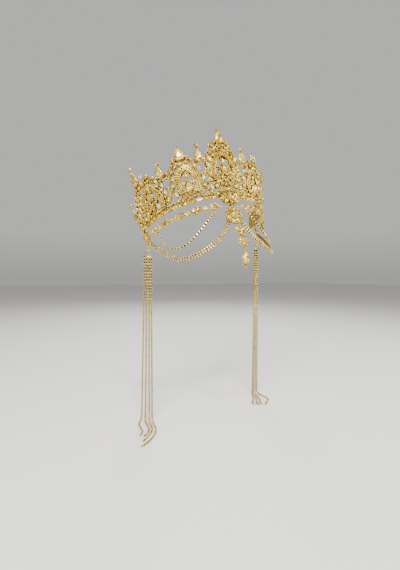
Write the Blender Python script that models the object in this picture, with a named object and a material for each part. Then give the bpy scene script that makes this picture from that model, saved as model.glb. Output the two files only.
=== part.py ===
# Bridal crown: a pierced, flared half ring of gilt brass set with cut glass, with a forehead
# band, chain swags and a pendant over the brow, and a tassel of cup chain at each ear.
# Metres, +Z up, -Y to the front, +X to the wearer's left. The origin is the middle of the
# base ring, where the crown is carried.

import bmesh
import bpy
from math import cos, degrees, pi, radians, sin, sqrt
from mathutils import Matrix, Vector

# The ring and its wall, before the crown is tilted to the way it is worn
RING_WIDTH = 0.160
RING_DEPTH = 0.0766
HALF_SWEEP = 95.0
CROWN_HEIGHT = 0.0865
BROW_FLARE = 6.0
EAR_FLARE = 14.0
SIDE_DIP = 0.0038
PLATE_THICK = 0.0016
PLATE_FOOT = 0.0010
BEND_STEP = 9.5

# The way it is worn, and the table under the tassels
BACK_TILT = 15.9
SIDE_TILT = 6.1
TABLE_DROP = 0.2423

# Gaps between pieces that touch, and how far fused pieces reach into each other
CLEARANCE = 0.0003
BITE = 0.0004
STONE_OVERLAP = 0.0022

# Cut stones: width and length of the outline, thickness from the back to the table
LARGE_PEAR = (0.0104, 0.0144, 0.0034)
SMALL_PEAR = (0.0092, 0.0134, 0.0032)
SEAT_MARQUISE = (0.0040, 0.0104, 0.0026)
TIP_ROUND = (0.0056, 0.0056, 0.0030)
DOUBLE_TIP_ROUND = (0.0048, 0.0048, 0.0028)
FLANK_ROUND = (0.0050, 0.0050, 0.0028)
DANGLE_MARQUISE = (0.0034, 0.0068, 0.0022)
BASE_MARQUISE = (0.0058, 0.0026)
BASE_ROUND = (0.0054, 0.0054, 0.0023)
BAND_ROUND = (0.0064, 0.0064, 0.0028)
BAND_SIDE_ROUND = (0.0056, 0.0056, 0.0026)
BAND_SMALL_ROUND = (0.0046, 0.0046, 0.0023)
BAND_MARQUISE = (0.0056, 0.0025)
CONNECTOR_ROUND = (0.0042, 0.0042, 0.0022)
BAR_WIDTH = 0.0014
BAR_THICK = 0.0009
TABLE_SHARE = 0.55
PEAR_FULLNESS = 0.62
GIRDLE_SHARE = 0.45

# The base row and the forehead band
BASE_PAIRS = 7
BASE_ROW_START = 14.2
BASE_PAIR_STEP = 10.3
BASE_ROW_RISE = 0.0034
BAND_UNITS = 5
BAND_START = 14.8
BAND_STEP = 14.1
BAND_DROP = 0.0090
BAND_LIFT = 0.0012
BAND_WIRE_RADIUS = 0.0005
BAND_WIRE_START = 5.4
BAND_CLUSTER_SPREAD = 0.0027

# Medallions, pendant and side connectors
MEDALLION_WIDTH = 0.0250
MEDALLION_HEIGHT = 0.0174
FOREHEAD_MEDALLION_ANGLE = -1.0
FOREHEAD_MEDALLION_SIZE = 0.0214
FOREHEAD_MEDALLION_DROP = 0.0212
FOREHEAD_MEDALLION_LIFT = 0.0026
BACKING_THICK = 0.0012
PENDANT_ANGLE = 1.8
PENDANT_LOBE = (0.0068, 0.0082, 0.0028)
PENDANT_TIER = 0.0120
PENDANT_DROP_LEAN = 19.0
DROP_PEAR = (0.0092, 0.0145, 0.0034)
CONNECTOR_ANGLE = 86.6
CONNECTOR_LIFT = 0.0004
CONNECTOR_DROP = 0.0062
CONNECTOR_RADIUS = 0.0048

# Rings and eyes: radius to the middle of the wire, and the wire's own radius
EYE_RADIUS = 0.0011
LINK_RADIUS = 0.0013
TASSEL_RING_RADIUS = 0.0029
WIRE_RADIUS = 0.0003
TASSEL_RING_WIRE = 0.0004

# Chains: a single row of cups, a double row, and the strands of the tassels
SINGLE_CHAIN_RADIUS = 0.00135
DOUBLE_CHAIN_WIDTH = 0.0050
DOUBLE_CHAIN_THICK = 0.0022
CHAIN_LIFT = 0.0012
STRAND_RADIUS = 0.0012
STRAND_PITCH = 0.0027
STRAND_CURL = 0.0140
TASSEL_TURN = 24.0
TASSEL_BAR_HEIGHT = 0.0022
DROP_LINK_LENGTH = 0.0066
DROP_LINK_RADIUS = 0.0017

# Upper edge of the plate, brow to ear: at is a share of the half sweep, up of the crown's height
EDGE_COLUMNS = ("at", "up")
EDGE = (
    (0.026, 0.845), (0.050, 0.775), (0.080, 0.785), (0.096, 0.750), (0.094, 0.700),
    (0.116, 0.680), (0.128, 0.635), (0.146, 0.600), (0.154, 0.545), (0.166, 0.530),
    (0.182, 0.565), (0.200, 0.585), (0.219, 0.565), (0.237, 0.535), (0.263, 0.570),
    (0.277, 0.630), (0.300, 0.642), (0.317, 0.622), (0.340, 0.665), (0.363, 0.622),
    (0.384, 0.635), (0.408, 0.615), (0.418, 0.570), (0.440, 0.530), (0.466, 0.500),
    (0.489, 0.502), (0.515, 0.525), (0.541, 0.502), (0.566, 0.490), (0.590, 0.505),
    (0.606, 0.555), (0.637, 0.595), (0.668, 0.575), (0.684, 0.538), (0.705, 0.545),
    (0.727, 0.598), (0.757, 0.630), (0.787, 0.598), (0.808, 0.550), (0.836, 0.520),
    (0.863, 0.468), (0.884, 0.410), (0.910, 0.358), (0.936, 0.330), (0.968, 0.318),
    (0.990, 0.275), (1.000, 0.208),
)

# Gaps cut through the plate, on both sides: wide and tall are shares of the crown's height,
# lean is in degrees, away from the brow at the top, and full rounds the gap's shoulders
GAP_COLUMNS = ("at", "up", "wide", "tall", "lean", "full")
GAPS = (
    (0.038, 0.505, 0.061, 0.127, -24, 0.22), (0.061, 0.370, 0.050, 0.135, 0, 0.26),
    (0.055, 0.630, 0.036, 0.070, -60, 0.16), (0.112, 0.480, 0.036, 0.068, 8, 0.24),
    (0.105, 0.122, 0.039, 0.104, -64, 0.14), (0.045, 0.155, 0.044, 0.062, 30, 0.22),
    (0.194, 0.455, 0.099, 0.159, 0, 0.30), (0.163, 0.298, 0.057, 0.099, -14, 0.24),
    (0.223, 0.325, 0.039, 0.057, 0, 0.24), (0.140, 0.215, 0.042, 0.098, -60, 0.14),
    (0.217, 0.165, 0.036, 0.055, 0, 0.24), (0.254, 0.405, 0.036, 0.057, 20, 0.24),
    (0.178, 0.120, 0.034, 0.065, 60, 0.18), (0.353, 0.345, 0.059, 0.106, -25, 0.18),
    (0.293, 0.345, 0.059, 0.106, 25, 0.18), (0.362, 0.226, 0.052, 0.123, 20, 0.22),
    (0.267, 0.232, 0.040, 0.137, 0, 0.28), (0.385, 0.480, 0.040, 0.116, -38, 0.16),
    (0.277, 0.486, 0.044, 0.122, 40, 0.16), (0.414, 0.400, 0.031, 0.047, 0, 0.24),
    (0.488, 0.388, 0.080, 0.130, 0, 0.30), (0.478, 0.250, 0.057, 0.083, 10, 0.26),
    (0.428, 0.316, 0.039, 0.083, -50, 0.16), (0.426, 0.234, 0.044, 0.075, 15, 0.24),
    (0.461, 0.140, 0.062, 0.109, 10, 0.26), (0.404, 0.142, 0.036, 0.057, 0, 0.24),
    (0.524, 0.115, 0.044, 0.052, 0, 0.24), (0.535, 0.405, 0.031, 0.059, 0, 0.24),
    (0.606, 0.445, 0.038, 0.104, 38, 0.16), (0.681, 0.440, 0.042, 0.114, -38, 0.16),
    (0.617, 0.325, 0.057, 0.107, 20, 0.20), (0.690, 0.330, 0.065, 0.117, -20, 0.20),
    (0.590, 0.192, 0.052, 0.130, -8, 0.26), (0.703, 0.205, 0.039, 0.070, 0, 0.24),
    (0.745, 0.460, 0.070, 0.091, -25, 0.24), (0.796, 0.375, 0.052, 0.073, 0, 0.26),
    (0.797, 0.475, 0.034, 0.065, -20, 0.20), (0.745, 0.340, 0.039, 0.081, 25, 0.20),
    (0.793, 0.280, 0.065, 0.068, 20, 0.26), (0.776, 0.180, 0.047, 0.068, 20, 0.24),
    (0.842, 0.420, 0.042, 0.073, -20, 0.22), (0.846, 0.305, 0.044, 0.081, 0, 0.24),
    (0.838, 0.180, 0.052, 0.081, -15, 0.26), (0.892, 0.262, 0.047, 0.104, -15, 0.22),
    (0.896, 0.130, 0.049, 0.075, 15, 0.26), (0.943, 0.205, 0.039, 0.091, 0, 0.24),
)

# Stones that stand over the edge: seat is where the pear starts, tips the rounds above it
SPIRE_COLUMNS = ("name", "at", "seat", "pear", "tips", "flanked")
SPIRES = (
    ("centre", 0.000, 0.798, LARGE_PEAR, (0.938, 0.978), True),
    ("inner", 0.200, 0.543, LARGE_PEAR, (0.742,), False),
    ("brow", 0.342, 0.607, LARGE_PEAR, (), True),
    ("temple", 0.515, 0.485, SMALL_PEAR, (0.651,), False),
    ("outer", 0.638, 0.530, None, (0.592,), True),
    ("side", 0.757, 0.597, LARGE_PEAR, (0.820,), False),
    ("end", 0.968, 0.212, LARGE_PEAR, (0.472,), False),
)

# Pears that hang inside the arches, each under a small marquise
DANGLE_COLUMNS = ("name", "at", "up", "wide", "tall", "marquise")
DANGLES = (
    ("centre", 0.000, 0.405, 0.0070, 0.0112, 0.525),
    ("brow", 0.320, 0.232, 0.0080, 0.0118, 0.385),
    ("outer", 0.653, 0.318, 0.0070, 0.0100, 0.430),
)

# Chain routes on the brow, chosen by hand: degrees round from the brow, metres below the ring
SINGLE_SWAG = (
    (15.2, 0.0146), (19.3, 0.0196), (24.6, 0.0262), (30.0, 0.0325), (35.0, 0.0374),
    (40.0, 0.0408), (45.0, 0.0426), (50.0, 0.0420), (54.0, 0.0400), (58.5, 0.0355),
    (62.5, 0.0295), (65.2, 0.0235), (66.8, 0.0178), (67.3, 0.0117),
)
DOUBLE_SWAG = (
    (5.6, 0.0264), (7.6, 0.0315), (10.0, 0.0365), (14.0, 0.0428), (19.0, 0.0480),
    (25.0, 0.0522), (31.5, 0.0553), (38.0, 0.0570), (44.0, 0.0568), (50.0, 0.0545),
    (56.0, 0.0490), (62.0, 0.0423), (68.0, 0.0350), (74.0, 0.0272), (80.0, 0.0190),
    (84.4, 0.0132),
)

# Ends of the strands on the table, chosen by hand: metres from the tassel's own axis
RIGHT_STRAND_ENDS = (
    ((-0.0062, 0.0075), (-0.0092, 0.0010), (-0.0122, -0.0060), (-0.0116, -0.0150),
     (-0.0118, -0.0235), (-0.0155, -0.0290)),
    ((-0.0018, 0.0055), (-0.0036, -0.0030), (-0.0032, -0.0120), (-0.0036, -0.0205),
     (-0.0068, -0.0280), (-0.0112, -0.0320)),
    ((0.0024, 0.0038), (0.0006, -0.0060), (0.0004, -0.0175), (-0.0026, -0.0275),
     (-0.0084, -0.0355), (-0.0142, -0.0408)),
    ((0.0058, 0.0022), (0.0044, -0.0080), (0.0040, -0.0210), (0.0010, -0.0312),
     (-0.0046, -0.0395), (-0.0106, -0.0452), (-0.0172, -0.0492)),
)
LEFT_STRAND_ENDS = (
    ((-0.0058, 0.0022), (-0.0080, -0.0040), (-0.0120, -0.0090), (-0.0164, -0.0132),
     (-0.0180, -0.0196)),
    ((-0.0024, 0.0038), (-0.0036, -0.0045), (-0.0072, -0.0110), (-0.0114, -0.0160),
     (-0.0124, -0.0222)),
    ((0.0018, 0.0055), (0.0010, -0.0030), (-0.0014, -0.0105), (-0.0054, -0.0165),
     (-0.0074, -0.0212)),
    ((0.0062, 0.0075), (0.0096, 0.0000), (0.0116, -0.0080), (0.0090, -0.0155),
     (0.0026, -0.0205), (-0.0024, -0.0248)),
)

for leftover in list(bpy.data.objects):
    bpy.data.objects.remove(leftover)

crown = bpy.data.collections.new("bridal_crown")
bpy.context.scene.collection.children.link(crown)
workshop = bpy.data.collections.new("pieces_to_fuse")
bpy.context.scene.collection.children.link(workshop)

pose = bpy.data.objects.new("worn_pose", None)
pose.rotation_euler = (-radians(BACK_TILT), -radians(SIDE_TILT), 0.0)
crown.objects.link(pose)
WORN = pose.rotation_euler.to_matrix().to_4x4()


def finish(name, colour, roughness, metallic):
    material = bpy.data.materials.new(name)
    material.use_nodes = True
    shader = material.node_tree.nodes["Principled BSDF"]
    shader.inputs["Base Color"].default_value = (*colour, 1.0)
    shader.inputs["Roughness"].default_value = roughness
    shader.inputs["Metallic"].default_value = metallic
    return material


GILT_BRASS = finish("gilt_brass", (0.72, 0.52, 0.20), 0.25, 1.0)
CLEAR_GLASS = finish("champagne_glass", (0.93, 0.88, 0.72), 0.05, 0.0)
AMBER_GLASS = finish("amber_glass", (0.80, 0.52, 0.22), 0.05, 0.0)
CUP_CHAIN = finish("cup_chain", (0.85, 0.74, 0.45), 0.20, 0.8)


def named_rows(columns, table):
    return [dict(zip(columns, row)) for row in table]


def wall_point(angle, height):
    """Where the wall is, and which way it rises. Under the ring it drops straight."""
    turn = radians(angle)
    flare = 0.0
    if height > 0:
        flare = radians(BROW_FLARE + (EAR_FLARE - BROW_FLARE) * (1 - cos(turn) ** 4))
    level = Vector((sin(turn) * RING_DEPTH, -cos(turn) * RING_WIDTH / 2, 0.0)).normalized()
    foot = Vector((RING_WIDTH / 2 * sin(turn), -RING_DEPTH * cos(turn), -SIDE_DIP * sin(turn) ** 2))
    up = level * sin(flare) + Vector((0.0, 0.0, cos(flare)))
    return foot + up * height, up


def wall_place(angle, height=0.0, lift=0.0, lean=0.0):
    """A place on the wall: X runs round it, Y up it, Z out of it."""
    point, up = wall_point(angle, height)
    along = wall_point(angle + 0.5, height)[0] - wall_point(angle - 0.5, height)[0]
    out = along.cross(up).normalized()
    place = Matrix((up.cross(out), up, out)).transposed().to_4x4()
    place.translation = point + out * lift
    return place @ Matrix.Rotation(radians(lean), 4, "Z")


def shifted(x=0.0, y=0.0, z=0.0):
    return Matrix.Translation((x, y, z))


def round_outline(wide, tall, sides=8):
    turns = [2 * pi * (step + 0.5) / sides for step in range(sides)]
    return [(wide / 2 * sin(turn), tall / 2 * cos(turn)) for turn in turns]


def marquise_outline(wide, tall):
    levels = (1.0, 0.5, 0.0, -0.5, -1.0)
    right = [(wide / 2 * (1 - level**2), tall / 2 * level) for level in levels]
    return right + [(-x, y) for x, y in right[3:0:-1]]


def pear_outline(wide, tall, sides=8):
    """A drop with its point up and round shoulders, scaled so that its widest place is as given."""
    turns = [2 * pi * step / sides for step in range(sides)]
    halves = [sin(t) * sin(t / 2) ** PEAR_FULLNESS for t in turns]
    return [(wide / 2 * half / max(halves), tall / 2 * cos(t)) for half, t in zip(halves, turns)]


def loft(name, rings):
    """A closed mesh through rings of points that all run the same way round."""
    shape = bmesh.new()
    loops = [[shape.verts.new(point) for point in ring] for ring in rings]
    for lower, upper in zip(loops, loops[1:]):
        for index, vertex in enumerate(lower):
            before = index - 1
            shape.faces.new((lower[before], vertex, upper[index], upper[before]))
    shape.faces.new(reversed(loops[0]))
    shape.faces.new(loops[-1])
    bmesh.ops.recalc_face_normals(shape, faces=shape.faces)
    return piece_from(name, shape)


def piece_from(name, shape, place=Matrix()):
    mesh = bpy.data.meshes.new(name)
    shape.to_mesh(mesh)
    shape.free()
    mesh.transform(place)
    piece = bpy.data.objects.new(name, mesh)
    workshop.objects.link(piece)
    return piece


def stone(outline, thick, place, girdle=False):
    """A cut stone in its cup: a table over crown facets and, on the large ones, a girdle."""
    outline = list(outline)
    levels = [(1.0, 0.0), (TABLE_SHARE, thick)]
    if girdle:
        levels = [(0.86, 0.0), (1.0, thick * GIRDLE_SHARE), (TABLE_SHARE, thick)]
    rings = [[place @ Vector((x * share, y * share, z)) for x, y in outline] for share, z in levels]
    return loft("stone", rings)


def round_stone(size, place, sides=8):
    return stone(round_outline(size[0], size[1], sides), size[2], place)


def marquise_stone(size, place):
    return stone(marquise_outline(size[0], size[1]), size[2], place)


def pear_stone(size, place, girdle=True):
    return stone(pear_outline(size[0], size[1]), size[2], place, girdle)


def backing(wide, tall, place, sides=12):
    """A flat plate behind a group of stones, a little smaller at the front."""
    rings = []
    for share, z in ((1.0, 0.0), (0.94, BACKING_THICK)):
        outline = round_outline(wide * share, tall * share, sides)
        rings.append([place @ Vector((x, y, z)) for x, y in outline])
    return loft("backing", rings)


def block(size, place):
    shape = bmesh.new()
    bmesh.ops.create_cube(shape, size=1.0, matrix=place @ Matrix.Diagonal((*size, 1.0)))
    return piece_from("block", shape)


def upright_bar(low, high, place):
    """A flat bar up the back of a piece, a little above its back face."""
    middle = shifted(y=(low + high) / 2, z=BAR_THICK / 2 + 0.6 * BITE)
    return block((BAR_WIDTH, high - low, BAR_THICK), place @ middle)


def wire_ring(radius, wire, place, segments=10):
    """A ring of round wire in the place's own XY plane."""
    bpy.ops.mesh.primitive_torus_add(
        major_radius=radius, minor_radius=wire, major_segments=segments, minor_segments=5
    )
    ring = bpy.context.object
    for holder in list(ring.users_collection):
        holder.objects.unlink(ring)
    workshop.objects.link(ring)
    ring.data.transform(place)
    return ring


def smooth(points, steps):
    """Points along a curve that passes through the given ones."""
    points = [Vector(point) for point in points]
    padded = [2 * points[0] - points[1], *points, 2 * points[-1] - points[-2]]
    found = []
    for a, b, c, d in zip(padded, padded[1:], padded[2:], padded[3:]):
        for step in range(steps):
            t = step / steps
            bend = (2 * a - 5 * b + 4 * c - d) * t**2 + (3 * b - a - 3 * c + d) * t**3
            found.append(b + ((c - a) * t + bend) / 2)
    return [*found, points[-1]]


def tube(name, points, radius, sides_level=2):
    path = bpy.data.curves.new(name, "CURVE")
    path.dimensions = "3D"
    path.bevel_depth = radius
    path.bevel_resolution = sides_level
    path.use_fill_caps = True
    spline = path.splines.new("POLY")
    spline.points.add(len(points) - 1)
    for target, point in zip(spline.points, points):
        target.co = (*point, 1.0)
    piece = bpy.data.objects.new(name, path)
    workshop.objects.link(piece)
    return piece


def solid_copy(piece):
    """The mesh that a piece makes, with its loose caps welded. The piece itself goes."""
    bpy.context.view_layer.update()
    evaluated = piece.evaluated_get(bpy.context.evaluated_depsgraph_get())
    mesh = bpy.data.meshes.new_from_object(evaluated)
    mesh.transform(piece.matrix_world)
    shape = bmesh.new()
    shape.from_mesh(mesh)
    bmesh.ops.remove_doubles(shape, verts=shape.verts, dist=1e-6)
    bmesh.ops.recalc_face_normals(shape, faces=shape.faces)
    shape.to_mesh(mesh)
    shape.free()
    bpy.data.objects.remove(piece)
    return mesh


def settle(name, piece, material, worn=True):
    """Gives a finished piece its name, its material and its place in the crown."""
    for holder in list(piece.users_collection):
        holder.objects.unlink(piece)
    crown.objects.link(piece)
    piece.name = name
    piece.data.name = name
    piece.data.materials.clear()
    piece.data.materials.append(material)
    if worn:
        piece.parent = pose
    return piece


def fuse(name, pieces, material, worn=True):
    """One closed body from pieces that overlap."""
    body, *others = pieces
    group = bpy.data.collections.new(name + "_pieces")
    workshop.children.link(group)
    for other in others:
        workshop.objects.unlink(other)
        group.objects.link(other)
    join = body.modifiers.new("join", "BOOLEAN")
    join.operation = "UNION"
    join.operand_type = "COLLECTION"
    join.collection = group
    mesh = solid_copy(body)
    for other in others:
        bpy.data.objects.remove(other)
    bpy.data.collections.remove(group)
    piece = bpy.data.objects.new(name, mesh)
    workshop.objects.link(piece)
    return settle(name, piece, material, worn)


def gap_outline(gap, side):
    """A six-cornered gap, pointed at both ends, in the flat plate."""
    half_wide = gap["wide"] * CROWN_HEIGHT / 2
    half_tall = gap["tall"] * CROWN_HEIGHT / 2
    shoulder = gap["full"] * 2 * half_tall
    corners = [
        (0.0, half_tall), (half_wide, shoulder), (half_wide, -shoulder),
        (0.0, -half_tall), (-half_wide, -shoulder), (-half_wide, shoulder),
    ]
    lean = radians(gap["lean"])
    middle = (side * gap["at"] * HALF_SWEEP * FLAT_DEGREE, gap["up"] * CROWN_HEIGHT)
    turned = [(x * cos(lean) + y * sin(lean), y * cos(lean) - x * sin(lean)) for x, y in corners]
    return [(middle[0] + side * x, middle[1] + y) for x, y in turned]


FLAT_DEGREE = radians(1.0) * (RING_WIDTH / 2 + RING_DEPTH) / 2


def crown_plate():
    """The pierced plate is cut flat, scored where it bends, and then bent round the wall."""
    edge = [
        (row["at"] * HALF_SWEEP * FLAT_DEGREE, row["up"] * CROWN_HEIGHT)
        for row in named_rows(EDGE_COLUMNS, EDGE)
    ]
    half = [*edge, (edge[-1][0], PLATE_FOOT)]
    outline = [(-x, y) for x, y in reversed(half)] + half
    gaps = [
        gap_outline(gap, side) for gap in named_rows(GAP_COLUMNS, GAPS) for side in (-1, 1)
    ]
    flat = bpy.data.curves.new("flat_plate", "CURVE")
    flat.dimensions = "2D"
    flat.fill_mode = "BOTH"
    flat.extrude = PLATE_THICK / 2
    for corners in [outline, *gaps]:
        spline = flat.splines.new("POLY")
        spline.use_cyclic_u = True
        spline.points.add(len(corners) - 1)
        for target, corner in zip(spline.points, corners):
            target.co = (*corner, 0.0, 1.0)
    blank = bpy.data.objects.new("flat_plate", flat)
    workshop.objects.link(blank)
    mesh = solid_copy(blank)
    shape = bmesh.new()
    shape.from_mesh(mesh)
    folds = int(2 * HALF_SWEEP / BEND_STEP)
    for fold in range(1, folds):
        across = (2 * fold / folds - 1) * HALF_SWEEP * FLAT_DEGREE
        everything = [*shape.verts, *shape.edges, *shape.faces]
        scored = bmesh.ops.bisect_plane(
            shape, geom=everything, dist=1e-5, plane_co=(across, 0, 0), plane_no=(1, 0, 0)
        )
        for element in scored["geom_cut"]:
            if isinstance(element, bmesh.types.BMEdge):
                element.seam = True
    bmesh.ops.dissolve_limit(
        shape, angle_limit=0.01, verts=shape.verts, edges=shape.edges, delimit={"SEAM"}
    )
    bmesh.ops.triangulate(shape, faces=shape.faces)
    for vertex in shape.verts:
        x, height, lift = vertex.co
        vertex.co = wall_place(x / FLAT_DEGREE, height, lift).translation
    shape.to_mesh(mesh)
    shape.free()
    plate = bpy.data.objects.new("crown_frame", mesh)
    workshop.objects.link(plate)
    return settle("crown_frame", plate, GILT_BRASS)


def spire(row, side_name, side):
    """A pear in its seat with the small rounds round it, on one bar."""
    on_plate = PLATE_THICK / 2 + CLEARANCE
    seat = row["seat"] * CROWN_HEIGHT
    foot = wall_place(side * row["at"] * HALF_SWEEP, seat, on_plate)
    rows = [marquise_stone(SEAT_MARQUISE, foot @ Matrix.Rotation(pi / 2, 4, "Z") @ shifted(z=BITE))]
    top = 0.0
    if row["pear"]:
        half_tall = row["pear"][1] / 2
        top = 2 * half_tall
        rows.append(pear_stone(row["pear"], foot @ shifted(y=half_tall - 3 * BITE)))
    tip_size = DOUBLE_TIP_ROUND if len(row["tips"]) > 1 else TIP_ROUND
    for index, tip in enumerate(row["tips"]):
        top = tip * CROWN_HEIGHT - seat
        rows.append(round_stone(tip_size, foot @ shifted(y=top, z=BITE * (0.5 + 0.3 * index))))
    if row["flanked"]:
        reach = LARGE_PEAR[0] / 2 + FLANK_ROUND[0] / 2 + CLEARANCE
        for hand in (-1, 1):
            rows.append(round_stone(FLANK_ROUND, foot @ shifted(x=hand * reach, y=-BITE, z=BITE / 4)))
        rows.append(block((2 * reach, BAR_WIDTH, BAR_THICK), foot @ shifted(z=BAR_THICK / 2 + BITE / 2)))
    rows.append(upright_bar(-BAR_WIDTH, top, foot))
    return fuse("spire_" + row["name"] + side_name, rows, CLEAR_GLASS)


def dangle(row, side_name, side):
    """A pear and the small marquise over it, on one bar in front of the plate."""
    angle = side * row["at"] * HALF_SWEEP
    place = wall_place(angle, row["up"] * CROWN_HEIGHT, PLATE_THICK / 2 + CLEARANCE)
    rise = (row["marquise"] - row["up"]) * CROWN_HEIGHT
    pieces = [
        pear_stone((row["wide"], row["tall"], SMALL_PEAR[2]), place),
        marquise_stone(DANGLE_MARQUISE, place @ shifted(y=rise, z=BITE / 2)),
        upright_bar(0.0, rise, place),
    ]
    return fuse("dangle_" + row["name"] + side_name, pieces, CLEAR_GLASS)


def base_row(side_name, side):
    """Marquises and rounds by turns along the plate's foot. Each marquise fills its gap."""
    lying = Matrix.Rotation(pi / 2, 4, "Z")
    lift = PLATE_THICK / 2 + CLEARANCE
    wide, thick = BASE_MARQUISE
    pieces = []
    for pair in range(BASE_PAIRS):
        angle = BASE_ROW_START + pair * BASE_PAIR_STEP
        place = wall_place(side * angle, BASE_ROW_RISE, lift)
        before = wall_place(side * (angle - BASE_PAIR_STEP / 2), BASE_ROW_RISE, lift)
        after = wall_place(side * (angle + BASE_PAIR_STEP / 2), BASE_ROW_RISE, lift)
        gap = (after.translation - before.translation).length - BASE_ROUND[0]
        pieces.append(marquise_stone((wide, gap + 2 * STONE_OVERLAP, thick), place @ lying))
        pieces.append(round_stone(BASE_ROUND, after @ shifted(y=-BITE, z=BITE / 4)))
    return fuse("base_row" + side_name, pieces, AMBER_GLASS)


def band_wire(start, end):
    """A square wire along the band, welded closed so that it can be fused."""
    angles = [start + (end - start) * part / 3 for part in range(4)]
    route = [wall_place(angle, -BAND_DROP, BAND_LIFT).translation for angle in angles]
    mesh = solid_copy(tube("band_wire", route, BAND_WIRE_RADIUS, sides_level=0))
    piece = bpy.data.objects.new("band_wire", mesh)
    workshop.objects.link(piece)
    return piece


def forehead_band(side_name, side):
    """Three rounds by turns with a marquise that fills the gap, and a wire at each end."""
    lying = Matrix.Rotation(pi / 2, 4, "Z")
    back = shifted(z=-BAND_WIRE_RADIUS)
    wide, thick = BAND_MARQUISE
    pieces = []
    last = None
    for unit in range(BAND_UNITS):
        angle = BAND_START + unit * BAND_STEP
        place = wall_place(side * angle, -BAND_DROP, BAND_LIFT) @ back
        inner = shifted(x=-side * BAND_CLUSTER_SPREAD, y=4 * BITE)
        outer = shifted(x=side * BAND_CLUSTER_SPREAD, y=2 * BITE, z=BITE / 4)
        below = shifted(y=-BAND_SMALL_ROUND[1] * 0.4, z=BITE / 2)
        pieces.append(round_stone(BAND_ROUND, place @ inner))
        pieces.append(round_stone(BAND_SIDE_ROUND, place @ outer))
        pieces.append(round_stone(BAND_SMALL_ROUND, place @ below))
        if last:
            between = (place.translation - last.translation).length
            gap = between - 2 * BAND_CLUSTER_SPREAD - (BAND_ROUND[0] + BAND_SIDE_ROUND[0]) / 2
            size = (wide, gap + 2 * STONE_OVERLAP, thick)
            leaf = wall_place(side * (angle - BAND_STEP / 2), -BAND_DROP, BAND_LIFT, side * 8.0)
            pieces.append(marquise_stone(size, leaf @ back @ shifted(z=BITE / 3) @ lying))
        last = place
    edge = degrees(CONNECTOR_RADIUS / RING_DEPTH) * 0.82
    pieces.append(band_wire(side * BAND_WIRE_START, side * BAND_START))
    pieces.append(band_wire(side * angle, side * (CONNECTOR_ANGLE - edge)))
    return fuse("forehead_band" + side_name, pieces, CLEAR_GLASS)


def flower(place, reach, petals, petal_size, heart_size, heart_sides, turn=0.0):
    """Petals of cut glass round one large stone, on a backing plate."""
    pieces = [backing(*reach, place)]
    for petal in range(petals):
        angle = 2 * pi * petal / petals + turn
        out = (
            reach[0] / 2 * sin(angle) - petal_size[1] / 2 * sin(angle),
            reach[1] / 2 * cos(angle) - petal_size[1] / 2 * cos(angle),
        )
        spot = place @ shifted(out[0], out[1], BITE) @ Matrix.Rotation(-angle, 4, "Z")
        pieces.append(marquise_stone(petal_size, spot))
    pieces.append(round_stone(heart_size, place @ shifted(z=2 * BITE), heart_sides))
    return pieces


def centre_medallion():
    lift = BAND_LIFT + BAND_WIRE_RADIUS + CLEARANCE
    place = wall_place(0.0, 0.0, lift)
    petal = (0.0046, 0.0074, 0.0026)
    heart = (0.0070, 0.0070, 0.0030)
    reach = (MEDALLION_WIDTH, MEDALLION_HEIGHT)
    return fuse("centre_medallion", flower(place, reach, 8, petal, heart, 10), AMBER_GLASS)


def pendant_height():
    """Where the pendant hangs: an eye on the medallion's rim, a little to one side of its lowest point."""
    across = radians(PENDANT_ANGLE - FOREHEAD_MEDALLION_ANGLE) * RING_WIDTH / 2
    reach = FOREHEAD_MEDALLION_SIZE / 2 + EYE_RADIUS * 0.45
    return -FOREHEAD_MEDALLION_DROP - sqrt(reach**2 - across**2)


def forehead_medallion():
    """It carries a stepped lug that reaches up behind the centre medallion, and an eye below."""
    drop = -FOREHEAD_MEDALLION_DROP
    size = FOREHEAD_MEDALLION_SIZE
    place = wall_place(FOREHEAD_MEDALLION_ANGLE, drop, FOREHEAD_MEDALLION_LIFT)
    petal = (0.0056, 0.0068, 0.0026)
    heart = (0.0084, 0.0084, 0.0034)
    pieces = flower(place, (size, size), 8, petal, heart, 12, pi / 8)
    low = BAND_LIFT + BAND_WIRE_RADIUS - BAR_THICK
    riser_height = FOREHEAD_MEDALLION_LIFT + BACKING_THICK * 0.7 - low
    riser = wall_place(FOREHEAD_MEDALLION_ANGLE, drop + size * 0.40, low + riser_height / 2)
    pieces.append(block((2 * BAR_WIDTH, 2 * BAR_WIDTH, riser_height), riser))
    top = -MEDALLION_HEIGHT * 0.28
    bottom = drop + size * 0.36
    lug = wall_place(FOREHEAD_MEDALLION_ANGLE, (top + bottom) / 2, low + BAR_THICK / 2)
    pieces.append(block((1.6 * BAR_WIDTH, top - bottom, BAR_THICK), lug))
    eye = wall_place(PENDANT_ANGLE, pendant_height(), FOREHEAD_MEDALLION_LIFT + BACKING_THICK / 2)
    pieces.append(wire_ring(EYE_RADIUS, WIRE_RADIUS, eye))
    return fuse("forehead_medallion", pieces, AMBER_GLASS)


def link_step(first, second):
    """From the middle of one ring to the next that hangs in it."""
    return first + second - 2 * WIRE_RADIUS - CLEARANCE * 0.8


EDGEWAYS = Matrix.Rotation(pi / 2, 4, "Y")


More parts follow.
